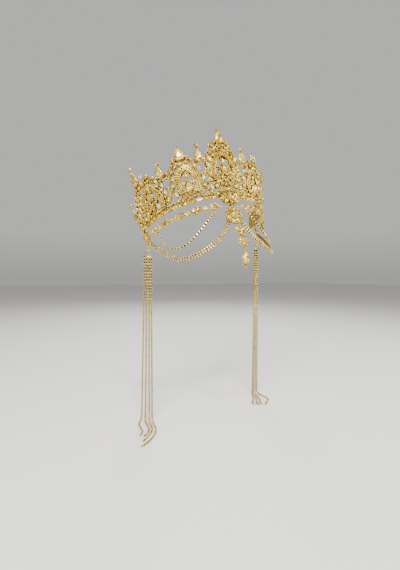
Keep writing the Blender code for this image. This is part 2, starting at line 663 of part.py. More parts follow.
def pendant():
    """Two tiers of three pears and a drop, which lie on the brow under the medallion."""
    height = pendant_height()
    lift = FOREHEAD_MEDALLION_LIFT + BACKING_THICK / 2

    height -= link_step(EYE_RADIUS, LINK_RADIUS)
    link = wire_ring(LINK_RADIUS, WIRE_RADIUS, wall_place(PENDANT_ANGLE, height, lift) @ EDGEWAYS)
    settle("pendant_link_upper", link, GILT_BRASS)

    height -= link_step(LINK_RADIUS, EYE_RADIUS)
    back = lift - BACKING_THICK / 2
    pieces = [wire_ring(EYE_RADIUS, WIRE_RADIUS, wall_place(PENDANT_ANGLE, height, lift))]
    lobe_wide, lobe_tall, lobe_thick = PENDANT_LOBE
    for tier in range(2):
        middle = height - EYE_RADIUS - lobe_tall * 0.46 - tier * PENDANT_TIER
        for index, turn in enumerate((-1, 0, 1)):
            angle = radians(180 - 104 * turn)
            spot = wall_place(PENDANT_ANGLE, middle, back + BITE * index / 4)
            reach = shifted(sin(angle) * lobe_tall * 0.42, cos(angle) * lobe_tall * 0.42)
            lobe = spot @ reach @ Matrix.Rotation(pi - angle, 4, "Z")
            pieces.append(pear_stone(PENDANT_LOBE, lobe, girdle=False))
    eye_height = middle - lobe_tall * 0.92 - EYE_RADIUS * 0.5
    bar_low = eye_height + EYE_RADIUS
    bar_high = height - EYE_RADIUS
    bar = wall_place(PENDANT_ANGLE, (bar_low + bar_high) / 2, back + BAR_THICK)
    pieces.append(block((BAR_WIDTH, bar_high - bar_low, BAR_THICK), bar))
    pieces.append(wire_ring(EYE_RADIUS, WIRE_RADIUS, wall_place(PENDANT_ANGLE, eye_height, lift)))
    fuse("pendant_cluster", pieces, AMBER_GLASS)

    height = eye_height - link_step(EYE_RADIUS, LINK_RADIUS)
    link = wire_ring(LINK_RADIUS, WIRE_RADIUS, wall_place(PENDANT_ANGLE, height, lift) @ EDGEWAYS)
    settle("pendant_link_lower", link, GILT_BRASS)

    height -= link_step(LINK_RADIUS, EYE_RADIUS)
    hang = wall_place(PENDANT_ANGLE, height, lift, -PENDANT_DROP_LEAN)
    drop = EYE_RADIUS * 0.6 + DROP_PEAR[1] / 2
    tip = drop + DROP_PEAR[1] / 2 + TIP_ROUND[1] * 0.34
    pieces = [
        pear_stone(DROP_PEAR, hang @ shifted(y=-drop, z=-BACKING_THICK / 2)),
        round_stone(TIP_ROUND, hang @ shifted(y=-tip, z=(BITE - BACKING_THICK) / 2)),
        wire_ring(EYE_RADIUS, WIRE_RADIUS, hang),
    ]
    fuse("pendant_drop", pieces, CLEAR_GLASS)


def swags(side_name, side):
    """A single row of cups, and below it a double row whose inner end lies behind the medallion."""
    route = [wall_place(side * a, -drop, CHAIN_LIFT).translation for a, drop in SINGLE_SWAG]
    single = tube("swag_single", smooth(route, 1), SINGLE_CHAIN_RADIUS)
    settle("swag_single" + side_name, single, CUP_CHAIN)

    places = [wall_place(side * angle, -drop, CHAIN_LIFT) for angle, drop in DOUBLE_SWAG]
    rings = []
    for index, place in enumerate(places):
        ahead = places[min(index + 1, len(places) - 1)].translation
        behind = places[max(index - 1, 0)].translation
        along = (ahead - behind).normalized()
        out = place.col[2].to_3d()
        across = out.cross(along).normalized()
        section = round_outline(DOUBLE_CHAIN_WIDTH, DOUBLE_CHAIN_THICK, 8)
        rings.append([place.translation + across * x + out * y for x, y in section])
    settle("swag_double" + side_name, loft("swag_double", rings), CUP_CHAIN)


def side_connector(side_name, side):
    """A cluster of rounds at the end of the ring. Its lug lies on the plate, its eye hangs below."""
    place = wall_place(side * CONNECTOR_ANGLE, -CONNECTOR_DROP, CONNECTOR_LIFT)
    size = 2 * CONNECTOR_RADIUS
    petal = (0.0040, 0.0046, 0.0026)
    pieces = flower(place, (size, size), 5, petal, CONNECTOR_ROUND, 8)
    lug_top = 0.0050
    lug = wall_place(side * CONNECTOR_ANGLE, lug_top / 2, PLATE_THICK / 2 + CLEARANCE)
    lug_tall = lug_top + CONNECTOR_DROP
    lug_spot = shifted(y=lug_top / 2 - lug_tall / 2, z=BAR_THICK * 0.8)
    pieces.append(block((2 * BAR_WIDTH, lug_tall, 1.6 * BAR_THICK), lug @ lug_spot))
    eye = place @ shifted(y=-CONNECTOR_RADIUS - EYE_RADIUS * 0.45, z=BACKING_THICK / 2)
    pieces.append(wire_ring(EYE_RADIUS, WIRE_RADIUS, eye))
    fuse("side_connector" + side_name, pieces, AMBER_GLASS)
    return (WORN @ eye).translation


def turned(name, profile, place, sides=8):
    """A turned piece along Z, from pairs of height and radius."""
    rings = []
    for height, radius in profile:
        corners = round_outline(2 * radius, 2 * radius, sides)
        rings.append([place @ Vector((x, -y, height)) for x, y in corners])
    return loft(name, rings)


def tassel(side_name, side, eye, ends):
    """Drop link, small ring, tassel ring and bar hang straight down, and four strands from the bar."""
    hang = Matrix.Translation(eye) @ Matrix.Rotation(radians(side * TASSEL_TURN), 4, "Z")
    upright = Matrix.Rotation(pi / 2, 4, "X")

    down = link_step(EYE_RADIUS, EYE_RADIUS)
    half = DROP_LINK_LENGTH / 2
    middle = down + EYE_RADIUS * 0.6 + half
    profile = ((-half, 0.0005), (-half * 0.5, DROP_LINK_RADIUS), (half * 0.5, DROP_LINK_RADIUS), (half, 0.0005))
    pieces = [
        turned("bead", profile, hang @ shifted(z=-middle)),
        wire_ring(EYE_RADIUS, WIRE_RADIUS, hang @ shifted(z=-down) @ upright),
    ]
    down = middle + half + EYE_RADIUS * 0.6
    pieces.append(wire_ring(EYE_RADIUS, WIRE_RADIUS, hang @ shifted(z=-down) @ upright))
    fuse("drop_link" + side_name, pieces, AMBER_GLASS, worn=False)

    down += link_step(EYE_RADIUS, LINK_RADIUS)
    small = wire_ring(LINK_RADIUS, WIRE_RADIUS, hang @ shifted(z=-down) @ EDGEWAYS)
    settle("small_link" + side_name, small, GILT_BRASS, worn=False)

    wires = WIRE_RADIUS + TASSEL_RING_WIRE
    down += LINK_RADIUS + TASSEL_RING_RADIUS - wires - CLEARANCE * 0.8
    ring = wire_ring(TASSEL_RING_RADIUS, TASSEL_RING_WIRE, hang @ shifted(z=-down) @ upright, 14)
    settle("tassel_ring" + side_name, ring, GILT_BRASS, worn=False)

    down += TASSEL_RING_RADIUS + LINK_RADIUS - wires - CLEARANCE * 0.8
    pieces = [wire_ring(LINK_RADIUS, WIRE_RADIUS, hang @ shifted(z=-down) @ EDGEWAYS)]
    down += LINK_RADIUS - WIRE_RADIUS / 2 + TASSEL_BAR_HEIGHT / 2
    count = len(ends)
    bar_size = (count * STRAND_PITCH, 2 * STRAND_RADIUS, TASSEL_BAR_HEIGHT)
    pieces.append(block(bar_size, hang @ shifted(z=-down)))
    fuse("tassel_bar" + side_name, pieces, GILT_BRASS, worn=False)

    top = hang.translation.z - down - TASSEL_BAR_HEIGHT / 2 - CLEARANCE
    table = -TABLE_DROP + STRAND_RADIUS
    for index, end in enumerate(ends):
        across = (index - (count - 1) / 2) * STRAND_PITCH
        start = hang @ Vector((across, 0.0, 0.0))
        landing = Vector((eye.x + end[0][0], eye.y + end[0][1], 0.0))
        foot = table + STRAND_CURL
        route = [(*start.xy.lerp(landing.xy, 0.9), foot), (*landing.xy, table + STRAND_CURL / 5)]
        route += [(eye.x + x, eye.y + y, table) for x, y in end[1:]]
        route = [(*start.xy, top), *smooth(route, 2)]
        strand = tube("strand", route, STRAND_RADIUS)
        settle("tassel_strand_%d%s" % (index + 1, side_name), strand, CUP_CHAIN, worn=False)


def build_crown():
    crown_plate()
    for row in named_rows(SPIRE_COLUMNS, SPIRES):
        if row["at"] == 0:
            spire(row, "", 1)
            continue
        spire(row, "_left", 1)
        spire(row, "_right", -1)
    for row in named_rows(DANGLE_COLUMNS, DANGLES):
        if row["at"] == 0:
            dangle(row, "", 1)
            continue
        dangle(row, "_left", 1)
        dangle(row, "_right", -1)
    centre_medallion()
    forehead_medallion()
    pendant()
    for side_name, side, ends in (("_left", 1, LEFT_STRAND_ENDS), ("_right", -1, RIGHT_STRAND_ENDS)):
        base_row(side_name, side)
        forehead_band(side_name, side)
        swags(side_name, side)
        eye = side_connector(side_name, side)
        tassel(side_name, side, eye, ends)
    bpy.data.collections.remove(workshop)


build_crown()
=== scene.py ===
from math import cos, hypot, pi, radians, sin

import bmesh
import bpy
import numpy as np
from mathutils import Matrix, Vector


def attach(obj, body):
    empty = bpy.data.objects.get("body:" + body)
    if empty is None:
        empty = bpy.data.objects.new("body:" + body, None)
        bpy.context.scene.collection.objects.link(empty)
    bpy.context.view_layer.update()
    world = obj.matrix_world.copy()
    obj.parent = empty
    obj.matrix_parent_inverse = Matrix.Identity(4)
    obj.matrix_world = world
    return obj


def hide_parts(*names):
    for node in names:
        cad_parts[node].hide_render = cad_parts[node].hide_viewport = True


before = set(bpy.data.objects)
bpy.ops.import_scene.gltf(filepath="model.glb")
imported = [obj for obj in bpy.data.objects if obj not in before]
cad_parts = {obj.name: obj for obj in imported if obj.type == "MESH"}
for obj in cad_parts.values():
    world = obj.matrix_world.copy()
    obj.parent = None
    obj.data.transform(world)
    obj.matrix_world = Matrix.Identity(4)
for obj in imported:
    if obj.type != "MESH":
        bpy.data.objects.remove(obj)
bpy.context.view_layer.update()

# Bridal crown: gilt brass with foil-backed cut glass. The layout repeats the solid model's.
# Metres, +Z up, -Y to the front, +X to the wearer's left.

random = np.random.default_rng(7)

# Materials, by the index they have on every piece
# The second metal is the gilt darkened all over as painted shade, for the shade between and under the stones.
gilt, shadedGilt, champagne, amber, clear, topaz = range(6)

crown = {
    "ringWidth": 0.160,
    "ringDepth": 0.0766,
    "halfSweep": 95.0,
    "height": 0.0865,
    "browFlare": 6.0,
    "earFlare": 14.0,
    "sideDip": 0.0038,
    "backTilt": 15.9,
    "sideTilt": 6.1,
    "groundDrop": 0.2423,
}

worn = Matrix.Rotation(-radians(crown["sideTilt"]), 4, "Y") @ Matrix.Rotation(-radians(crown["backTilt"]), 4, "X")


# Where the wall is, and which way it rises. Under the ring it drops straight.
def wallPoint(angle, height):
    turn = radians(angle)
    flare = 0.0
    if height > 0:
        flare = radians(crown["browFlare"] + (crown["earFlare"] - crown["browFlare"]) * (1 - cos(turn) ** 4))
    wide = crown["ringWidth"] / 2
    level = Vector((sin(turn) * crown["ringDepth"], -cos(turn) * wide, 0.0)).normalized()
    foot = Vector((wide * sin(turn), -crown["ringDepth"] * cos(turn), -crown["sideDip"] * sin(turn) ** 2))
    up = level * sin(flare) + Vector((0.0, 0.0, cos(flare)))
    return foot + up * height, up


# A place on the wall: X runs round it, Y up it, Z out of it.
def wallPlace(angle, height=0.0, lift=0.0, lean=0.0):
    point, up = wallPoint(angle, height)
    along = wallPoint(angle + 0.5, height)[0] - wallPoint(angle - 0.5, height)[0]
    out = along.cross(up).normalized()
    place = Matrix((up.cross(out), up, out)).transposed().to_4x4()
    place.translation = point + out * lift
    return place @ Matrix.Rotation(radians(lean), 4, "Z")


def shifted(x=0.0, y=0.0, z=0.0):
    return Matrix.Translation((x, y, z))


def turnedBy(degrees, axis="Z"):
    return Matrix.Rotation(radians(degrees), 4, axis)


# Shapes: a shape is its points, its faces and a painted glint value for each face, lighter or darker

def shapeFrom(points, faces, tones=None):
    return {
        "points": np.array(points, dtype=float),
        "faces": faces,
        "tones": tones if tones is not None else [1.0] * len(faces),
    }


# Faces through rings of points that run the same way round, counter-clockwise from the front.
def lofted(rings, capped=True):
    count = len(rings[0])
    points = [point for ring in rings for point in ring]
    faces = []
    for level in range(len(rings) - 1):
        for index in range(count):
            following = (index + 1) % count
            low, high = level * count, (level + 1) * count
            faces.append((low + index, low + following, high + following, high + index))
    if capped:
        faces.append(tuple(reversed(range(count))))
        faces.append(tuple(range((len(rings) - 1) * count, len(rings) * count)))
    return shapeFrom(points, faces)


def joined(shapes):
    points, faces, tones, base = [], [], [], 0
    for shape in shapes:
        points.append(shape["points"])
        faces += [tuple(base + corner for corner in face) for face in shape["faces"]]
        tones += shape["tones"]
        base += len(shape["points"])
    return shapeFrom(np.concatenate(points), faces, tones)


def placed(shape, place):
    rotation = np.array(place.to_3x3())
    points = shape["points"] @ rotation.T + np.array(place.translation)
    return {**shape, "points": points}


def roundOutline(wide, tall, count=16):
    turns = [2 * pi * step / count for step in range(count)]
    return np.array([(wide / 2 * cos(turn), tall / 2 * sin(turn)) for turn in turns])


# A drop with its point up. The lower the fullness, the rounder its shoulders.
def pearOutline(wide, tall, count=16, fullness=0.62):
    found = []
    for step in range(count):
        around = pi / 2 - 2 * pi * (step + count / 4) / count
        found.append((-sin(around) * abs(sin(around / 2)) ** fullness, tall / 2 * cos(around)))
    points = np.array(found)
    if not turnsLeft(points):
        points = points[::-1]
    points[:, 0] *= wide / 2 / np.abs(points[:, 0]).max()
    return points


# Two arcs that meet in points at the top and the bottom. The lower the fullness, the rounder they are.
def marquiseOutline(wide, tall, count=16, fullness=0.8):
    half = count // 2
    found = []
    for step in range(count):
        level = cos(pi * (step % half) / half)
        sign = -1 if step < half else 1
        level = level if step < half else -level
        found.append((sign * wide / 2 * (1 - level**2) ** fullness, tall / 2 * level))
    points = np.array(found)
    return points if turnsLeft(points) else points[::-1]


def turnsLeft(points):
    following = np.roll(points, -1, axis=0)
    return (points[:, 0] * following[:, 1] - following[:, 0] * points[:, 1]).sum() > 0


def ringOf(outline, share, height):
    return [(x * share, y * share, height) for x, y in outline]


# How stones are cut: shares of the outline, or of outline and height, and the range of the facets' painted glints and
# shade
largeCut = {
    "foot": 0.94,
    "girdle": 0.34,
    "kite": (0.82, 0.80),
    "table": 0.60,
    "dish": (0.45, 0.14),
    # The last three are painted glints and shade: per facet, on alternate table wedges, and for each stone as a
    # whole.
    "tones": (0.58, 1.22),
    "wedges": (0.22, -0.16),
    "spread": (0.86, 1.14),
}
smallCut = {"foot": 0.95, "girdle": 0.3, "table": 0.58, "tones": (0.6, 1.3), "tableGlint": (0.92, 1.25)}


# The crown of a cut stone on an outline of 16 points: table, stars, kites and halves.
# The table is dished a little, so that it glints in wedges as the facets behind a real one do; on top of that the
# facets get painted glints and shade, alternate wedges are painted lighter and darker, and each stone is painted
# lighter or darker.
def brilliant(outline, back, front):
    deep = front - back
    even, odd = outline[0::2], outline[1::2]
    kiteShare, kiteHeight = largeCut["kite"]
    dishShare, dishDepth = largeCut["dish"]
    rings = [
        ringOf(outline, largeCut["foot"], back), ringOf(outline, 1.0, back + largeCut["girdle"] * deep),
        ringOf(odd, kiteShare, back + kiteHeight * deep), ringOf(even, largeCut["table"], front),
        ringOf(even, largeCut["table"] * dishShare, front - dishDepth * deep),
    ]
    points = [point for ring in rings for point in ring]
    corners, half = len(outline), len(even)
    rim, kite, top, star = corners, 2 * corners, 2 * corners + half, 2 * corners + 2 * half
    faces = [(i, (i + 1) % corners, rim + (i + 1) % corners, rim + i) for i in range(corners)]
    wedges = []
    for i in range(half):
        before, after, following = kite + (i - 1) % half, kite + i, (i + 1) % half
        faces.append((top + i, before, rim + 2 * i, after))
        faces.append((top + i, after, top + following))
        faces.append((after, rim + 2 * i, rim + 2 * i + 1))
        faces.append((after, rim + 2 * i + 1, rim + (2 * i + 2) % corners))
        wedges.append((top + i, top + following, star + following, star + i))
    first = len(faces)
    faces += [*wedges, tuple(range(star, star + half)), tuple(reversed(range(corners)))]
    # Painted glints and shade: alternate wedges lighter and darker, then the whole stone lighter or darker.
    lighter, darker = largeCut["wedges"]
    shade = random.uniform(*largeCut["tones"], len(faces))
    shade[first:first + half:2] += lighter
    shade[first + 1:first + half:2] += darker
    shade *= random.uniform(*largeCut["spread"])
    return shapeFrom(points, faces, list(shade))


# A small stone: a table and eight facets, the facets with painted glints and shade, the table with a painted glint of
# its own, mostly bright.
def plainCut(outline, back, front):
    outline = outline[0::2]
    girdle = back + smallCut["girdle"] * (front - back)
    shape = lofted([
        ringOf(outline, smallCut["foot"], back), ringOf(outline, 1.0, girdle),
        ringOf(outline, smallCut["table"], front),
    ])
    shape["tones"] = list(random.uniform(*smallCut["tones"], len(shape["faces"])))
    shape["tones"][-1] = random.uniform(*smallCut["tableGlint"])
    return shape


# A stamped cup: a foot, a wall that opens upwards, a rounded rim and its inner side.
def cup(outline, rim, wall):
    grown = 1 + wall / float(np.abs(outline).max())
    rings = [
        ringOf(outline, 0.80 * grown, 0.0), ringOf(outline, 0.97 * grown, 0.45 * rim),
        ringOf(outline, grown, rim - 0.2 * wall), ringOf(outline, (1 + grown) / 2, rim + 0.25 * wall),
        ringOf(outline, 1.0, rim - 0.2 * wall), ringOf(outline, 0.96, rim - 1.2 * wall),
    ]
    shape = lofted(rings, capped=False)
    shape["faces"].append(tuple(reversed(range(len(outline)))))
    shape["tones"].append(1.0)
    return shape


def ball(radius, squash=1.0, around=8, levels=5):
    rings = []
    for level in range(1, levels):
        tilt = pi * level / levels
        ring = roundOutline(2 * radius * sin(tilt), 2 * radius * sin(tilt), around)
        rings.append([(x, y, -radius * squash * cos(tilt)) for x, y in ring])
    shape = lofted(rings, capped=False)
    count = len(shape["points"])
    poles = np.array([(0, 0, -radius * squash), (0, 0, radius * squash)])
    shape["points"] = np.concatenate([shape["points"], poles])
    last = count - around
    for index in range(around):
        following = (index + 1) % around
        shape["faces"].append((count, following, index))
        shape["faces"].append((count + 1, last + index, last + following))
    shape["tones"] = [1.0] * len(shape["faces"])
    return shape


# Settings in metres, with the heights of rim, seat and top as shares of the stone's thickness
setting = {
    "wall": 0.00035,
    "thinWall": 0.00022,
    "rim": 0.46,
    "seat": 0.25,
    "top": 0.96,
    "claw": 0.00042,
    "clawLong": 1.9,
    "clawBend": -38,
    "clawRise": 0.0002,
    "clawReach": 0.97,
}


# Claws bent over the girdle, at places on the outline given as shares of its points.
def claws(outline, rim, spots):
    shapes = []
    for spot in spots:
        x, y = outline[int(spot * len(outline)) % len(outline)]
        stand = Matrix.Rotation(np.arctan2(y, x), 4, "Z") @ turnedBy(setting["clawBend"], "Y")
        foot = shifted(x * setting["clawReach"], y * setting["clawReach"], rim)
        shapes.append(placed(ball(setting["claw"], setting["clawLong"], 6, 4), foot @ stand))
    return joined(shapes)


# A piece gathers shapes in one mesh, each with a material

def newPiece():
    return {"points": [], "faces": [], "materials": [], "tones": [], "smooth": [], "count": 0}


def addShape(piece, shape, material, place=None, smooth=False):
    if place is not None:
        shape = placed(shape, place)
    base = piece["count"]
    piece["points"].append(shape["points"])
    piece["faces"] += [tuple(base + corner for corner in face) for face in shape["faces"]]
    piece["tones"] += list(shape["tones"])
    piece["materials"] += [material] * len(shape["faces"])
    piece["smooth"] += [smooth] * len(shape["faces"])
    piece["count"] += len(shape["points"])


# An sRGB colour as the linear one that shaders take.
def linear(hexText):
    shares = [int(hexText[i:i + 2], 16) / 255 for i in (1, 3, 5)]
    return tuple(s / 12.92 if s < 0.04045 else ((s + 0.055) / 1.055) ** 2.4 for s in shares) + (1.0,)


def addNode(tree, kind, settings=None, values=None, links=None):
    node = tree.nodes.new(kind)
    for name, value in (settings or {}).items():
        setattr(node, name, value)
    for name, value in (values or {}).items():
        node.inputs[name].default_value = value
    for name, source in (links or {}).items():
        tree.links.new(source, node.inputs[name])
    return node


# Texture scale at which one feature is this many millimetres.
def perMm(size):
    return 1000.0 / size


def freshMaterial(name, values):
    material = bpy.data.materials.new(name)
    material.use_nodes = True
    shader = material.node_tree.nodes["Principled BSDF"]
    for socket, value in values.items():
        shader.inputs[socket].default_value = value
    return material, material.node_tree, shader


# A ramp from one sRGB colour to another, between two levels of what drives it.
def twoStops(tree, driver, low, high, start, end):
    ramp = addNode(tree, "ShaderNodeValToRGB", links={"Fac": driver})
    for stop, level, colour in zip(ramp.color_ramp.elements, (start, end), (low, high)):
        stop.position = level
        stop.color = linear(colour)
    return ramp.outputs["Color"]


metalLook = {
    "gilt": {"high": "#EFD25A", "low": "#98761A", "rough": (0.15, 0.34), "grainMm": 0.7, "relief": 0.12},
    # The second look is darkened as painted shade, for the hollows between the stones.
    "shadedGilt": {"high": "#7E6018", "low": "#352806", "rough": (0.26, 0.48), "grainMm": 0.9, "relief": 0.25},
    "cloudMm": 3.2,
    "cloudFrom": 0.34,
    "cloudTo": 0.58,
    "grainDepth": 0.0002,
}


# Cast and plated brass: where the plating is thin it shows darker metal in patches, over a fine cast grain.
def castMetal(name, look):
    material, tree, shader = freshMaterial(name, {"Metallic": 1.0})
    where = {"Vector": addNode(tree, "ShaderNodeTexCoord").outputs["Object"]}
    coarse = {"Scale": perMm(metalLook["cloudMm"]), "Detail": 3.0}
    cloud = addNode(tree, "ShaderNodeTexNoise", values=coarse, links=where).outputs["Fac"]
    plating = twoStops(tree, cloud, look["low"], look["high"], metalLook["cloudFrom"], metalLook["cloudTo"])
    tree.links.new(plating, shader.inputs["Base Color"])
    fine = {"Scale": perMm(look["grainMm"]), "Detail": 2.0}
    grain = addNode(tree, "ShaderNodeTexNoise", values=fine, links=where).outputs["Fac"]
    limits = dict(zip(("To Min", "To Max"), look["rough"]))
    rough = addNode(tree, "ShaderNodeMapRange", values=limits, links={"Value": grain})
    tree.links.new(rough.outputs["Result"], shader.inputs["Roughness"])
    bump = addNode(
        tree, "ShaderNodeBump", values={"Strength": look["relief"], "Distance": metalLook["grainDepth"]},
        links={"Height": grain},
    )
    tree.links.new(bump.outputs["Normal"], shader.inputs["Normal"])
    return material


# Each glass runs from a deep colour for facets in painted shade to a bright colour for facets with a painted glint.
glassLook = {
    "champagne": {"bright": "#FFE266", "deep": "#8C6C12", "foil": 0.45},
    "amber": {"bright": "#EEBA26", "deep": "#6C4E06", "foil": 0.55},
    "clear": {"bright": "#FFF5BE", "deep": "#AC9238", "foil": 0.36},
    "topaz": {"bright": "#E29E16", "deep": "#6E4A04", "foil": 0.55},
    "deepTo": 0.25,
    "brightFrom": 0.62,
}


# Foil-backed cut glass: each facet's foil colour is painted lighter or darker, as painted glints and shade that stand
# in for the light the foil catches at its own tilt, under a polished face.
def cutGlass(name, look):
    material, tree, shader = freshMaterial(
        name, {"Metallic": look["foil"], "Roughness": 0.20, "IOR": 1.52, "Coat Weight": 0.5,
               "Coat Roughness": 0.08, "Coat IOR": 1.52},
    )
    facetGlint = addNode(tree, "ShaderNodeAttribute", {"attribute_name": "paintedFacetGlint"}).outputs["Fac"]
    foil = twoStops(tree, facetGlint, look["deep"], look["bright"], glassLook["deepTo"], glassLook["brightFrom"])
    tree.links.new(foil, shader.inputs["Base Color"])
    return material


materials = [
    castMetal("gilt brass, stamped and plated", metalLook["gilt"]),
    # Painted shade: the gilt darkened for the shade between and under the stones.
    castMetal("gilt brass, darkened as painted shade", metalLook["shadedGilt"]),
    cutGlass("champagne glass, cut and foil-backed", glassLook["champagne"]),
    cutGlass("amber glass, cut and foil-backed", glassLook["amber"]),
    cutGlass("clear glass, cut and foil-backed", glassLook["clear"]),
    cutGlass("topaz glass, cut and foil-backed", glassLook["topaz"]),
]


# Makes the mesh, tilts it as the crown is worn, and lets it ride in place of the CAD nodes that it stands for.
def finishPiece(piece, name, nodes, tilted=True):
    mesh = bpy.data.meshes.new(name)
    mesh.from_pydata(np.concatenate(piece["points"]).tolist(), [], piece["faces"])
    for material in materials:
        mesh.materials.append(material)
    mesh.polygons.foreach_set("material_index", piece["materials"])
    mesh.polygons.foreach_set("use_smooth", piece["smooth"])
    # Each face's painted glint value goes to the glass shader as an attribute.
    facetGlint = mesh.attributes.new("paintedFacetGlint", "FLOAT", "FACE")
    facetGlint.data.foreach_set("value", (np.array(piece["tones"]) - 0.5).clip(0, 1))
    if tilted:
        mesh.transform(worn)
    mesh.update()
    made = bpy.data.objects.new(name, mesh)
    bpy.context.scene.collection.objects.link(made)
    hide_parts(*nodes)
    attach(made, "root")


# A piece that stands for one CAD node and takes its name.
def standFor(piece, node, ending, tilted=True):
    finishPiece(piece, node + ending, [node], tilted)


# A stone, its cup and its claws, on the place's XY plane with the back at z = 0.
def setStone(piece, outline, thick, place, glass, spots):
    inner = outline * (1 - setting["wall"] / float(np.abs(outline).max()))
    rim = thick * setting["rim"]
    addShape(piece, cup(inner, rim, setting["wall"]), gilt, place)
    addShape(piece, brilliant(inner, setting["seat"] * thick, setting["top"] * thick), glass, place)
    addShape(piece, claws(inner, rim + setting["clawRise"], spots), gilt, place, smooth=True)


roundClaws = (0.125, 0.375, 0.625, 0.875)
pearClaws = (0.0, 0.2, 0.375, 0.625, 0.8)
marquiseClaws = (0.0, 0.25, 0.5, 0.75)


def setRound(piece, size, place, glass):
    setStone(piece, roundOutline(size[0], size[1]), size[2], place, glass, roundClaws)


def setPear(piece, size, place, glass):
    setStone(piece, pearOutline(size[0], size[1]), size[2], place, glass, pearClaws)


def setMarquise(piece, size, place, glass):
    setStone(piece, marquiseOutline(size[0], size[1]), size[2], place, glass, marquiseClaws)


# A small stone in a thin cup, for places too small for claws.
def smallStone(piece, across, thick, place, glass, seat=0.2, rim=0.5):
    wall = setting["thinWall"]
    inner = roundOutline(across, across) * (1 - 2 * wall / across)
    addShape(piece, cup(inner[::2], rim * thick, wall), gilt, place)
    addShape(piece, plainCut(inner, seat * thick, thick), glass, place)


# A round wire through points. beads is the depth of a milled edge, as a share of the radius.
def wire(piece, points, radius, material=gilt, around=6, closed=False, beads=0.0):
    points = [Vector(point) for point in points]
    count = len(points)
    rings = []
    side = None
    for index, point in enumerate(points):
        ahead = points[(index + 1) % count] if closed or index < count - 1 else point
        behind = points[index - 1] if closed or index > 0 else point
        along = (ahead - behind).normalized()
        if side is None:
            side = along.orthogonal().normalized()
        side = (side - along * side.dot(along)).normalized()
        other = along.cross(side)
        size = radius * (1 - beads * (index % 2))
        turns = [2 * pi * step / around for step in range(around)]
        rings.append([tuple(point + (side * cos(t) + other * sin(t)) * size) for t in turns])
    shape = lofted(rings, capped=not closed)
    if closed:
        last = (count - 1) * around
        # The frame may come back turned, so the last ring joins the corner that lies nearest.
        first = np.array(rings[0])
        start = int(np.linalg.norm(first - np.array(rings[-1][0]), axis=1).argmin())
        for index in range(around):
            following = (index + 1) % around
            shape["faces"].append(
                (last + index, last + following, (start + following) % around, (start + index) % around)
            )
        shape["tones"] = [1.0] * len(shape["faces"])
    addShape(piece, shape, material, smooth=True)


# Points along an open or closed curve that passes through the given ones.
def smooth(points, steps, closed=False):
    points = [Vector(point) for point in points]
    if closed:
        padded = [points[-1], *points, points[0], points[1]]
    else:
        padded = [2 * points[0] - points[1], *points, 2 * points[-1] - points[-2]]
    found = []
    for a, b, c, d in zip(padded, padded[1:], padded[2:], padded[3:]):
        for step in range(steps):
            t = step / steps
            bend = (2 * a - 5 * b + 4 * c - d) * t**2 + (3 * b - a - 3 * c + d) * t**3
            found.append(b + ((c - a) * t + bend) / 2)
    return found if closed else [*found, points[-1]]


# Points a fixed distance apart along a route.
def evenly(points, pitch):
    points = np.array([tuple(point) for point in points])
    steps = np.linalg.norm(np.diff(points, axis=0), axis=1)
    lengths = np.concatenate([[0], np.cumsum(steps)])
    count = max(2, int(round(lengths[-1] / pitch)))
    at = np.linspace(0, lengths[-1], count + 1)
    return [Vector([np.interp(a, lengths, points[:, axis]) for axis in range(3)]) for a in at]


def wireRing(piece, radius, wireRadius, place):
    turns = [2 * pi * step / 28 for step in range(28)]
    points = [place @ Vector((radius * cos(t), radius * sin(t), 0.0)) for t in turns]
    wire(piece, points, wireRadius, around=10, closed=True)


# A straight wire between two points.
def rod(piece, start, end, radius, parts=4):
    wire(piece, [start.lerp(end, part / parts) for part in range(parts + 1)], radius)


milled = 0.35  # how deep the beads of a milled wire are cut, as a share of its radius


def milledLoop(piece, points, radius, pitch=0.00045):
    wire(piece, evenly([*points, points[0]], pitch)[:-1], radius, closed=True, beads=milled)


# The wall: a pierced plate under the stones

plate = {
    "halfThick": 0.0008,
    "foot": 0.0022,
    "edgeSteps": 3,
    "gapSteps": 4,
    "bendStep": 3.0,
    "wireRadius": 0.00034,
    "wirePitch": 0.00042,
    "rimRadius": 0.000374,
    "rimPitch": 0.00063,
}
flatDegree = radians(1.0) * (crown["ringWidth"] / 2 + crown["ringDepth"]) / 2

edgeColumns = ("at", "up")
edge = (
    (0.026, 0.845), (0.050, 0.775), (0.080, 0.785), (0.096, 0.750), (0.094, 0.700),
    (0.116, 0.680), (0.128, 0.635), (0.146, 0.600), (0.154, 0.545), (0.166, 0.530),
    (0.182, 0.565), (0.200, 0.585), (0.219, 0.565), (0.237, 0.535), (0.263, 0.570),
    (0.277, 0.630), (0.300, 0.642), (0.317, 0.622), (0.340, 0.665), (0.363, 0.622),
    (0.384, 0.635), (0.408, 0.615), (0.418, 0.570), (0.440, 0.530), (0.466, 0.500),
    (0.489, 0.502), (0.515, 0.525), (0.541, 0.502), (0.566, 0.490), (0.590, 0.505),
    (0.606, 0.555), (0.637, 0.595), (0.668, 0.575), (0.684, 0.538), (0.705, 0.545),
    (0.727, 0.598), (0.757, 0.630), (0.787, 0.598), (0.808, 0.550), (0.836, 0.520),
    (0.863, 0.468), (0.884, 0.410), (0.910, 0.358), (0.936, 0.330), (0.968, 0.318),
    (0.990, 0.275), (1.000, 0.208),
)
gapColumns = ("at", "up", "wide", "tall", "lean", "full")
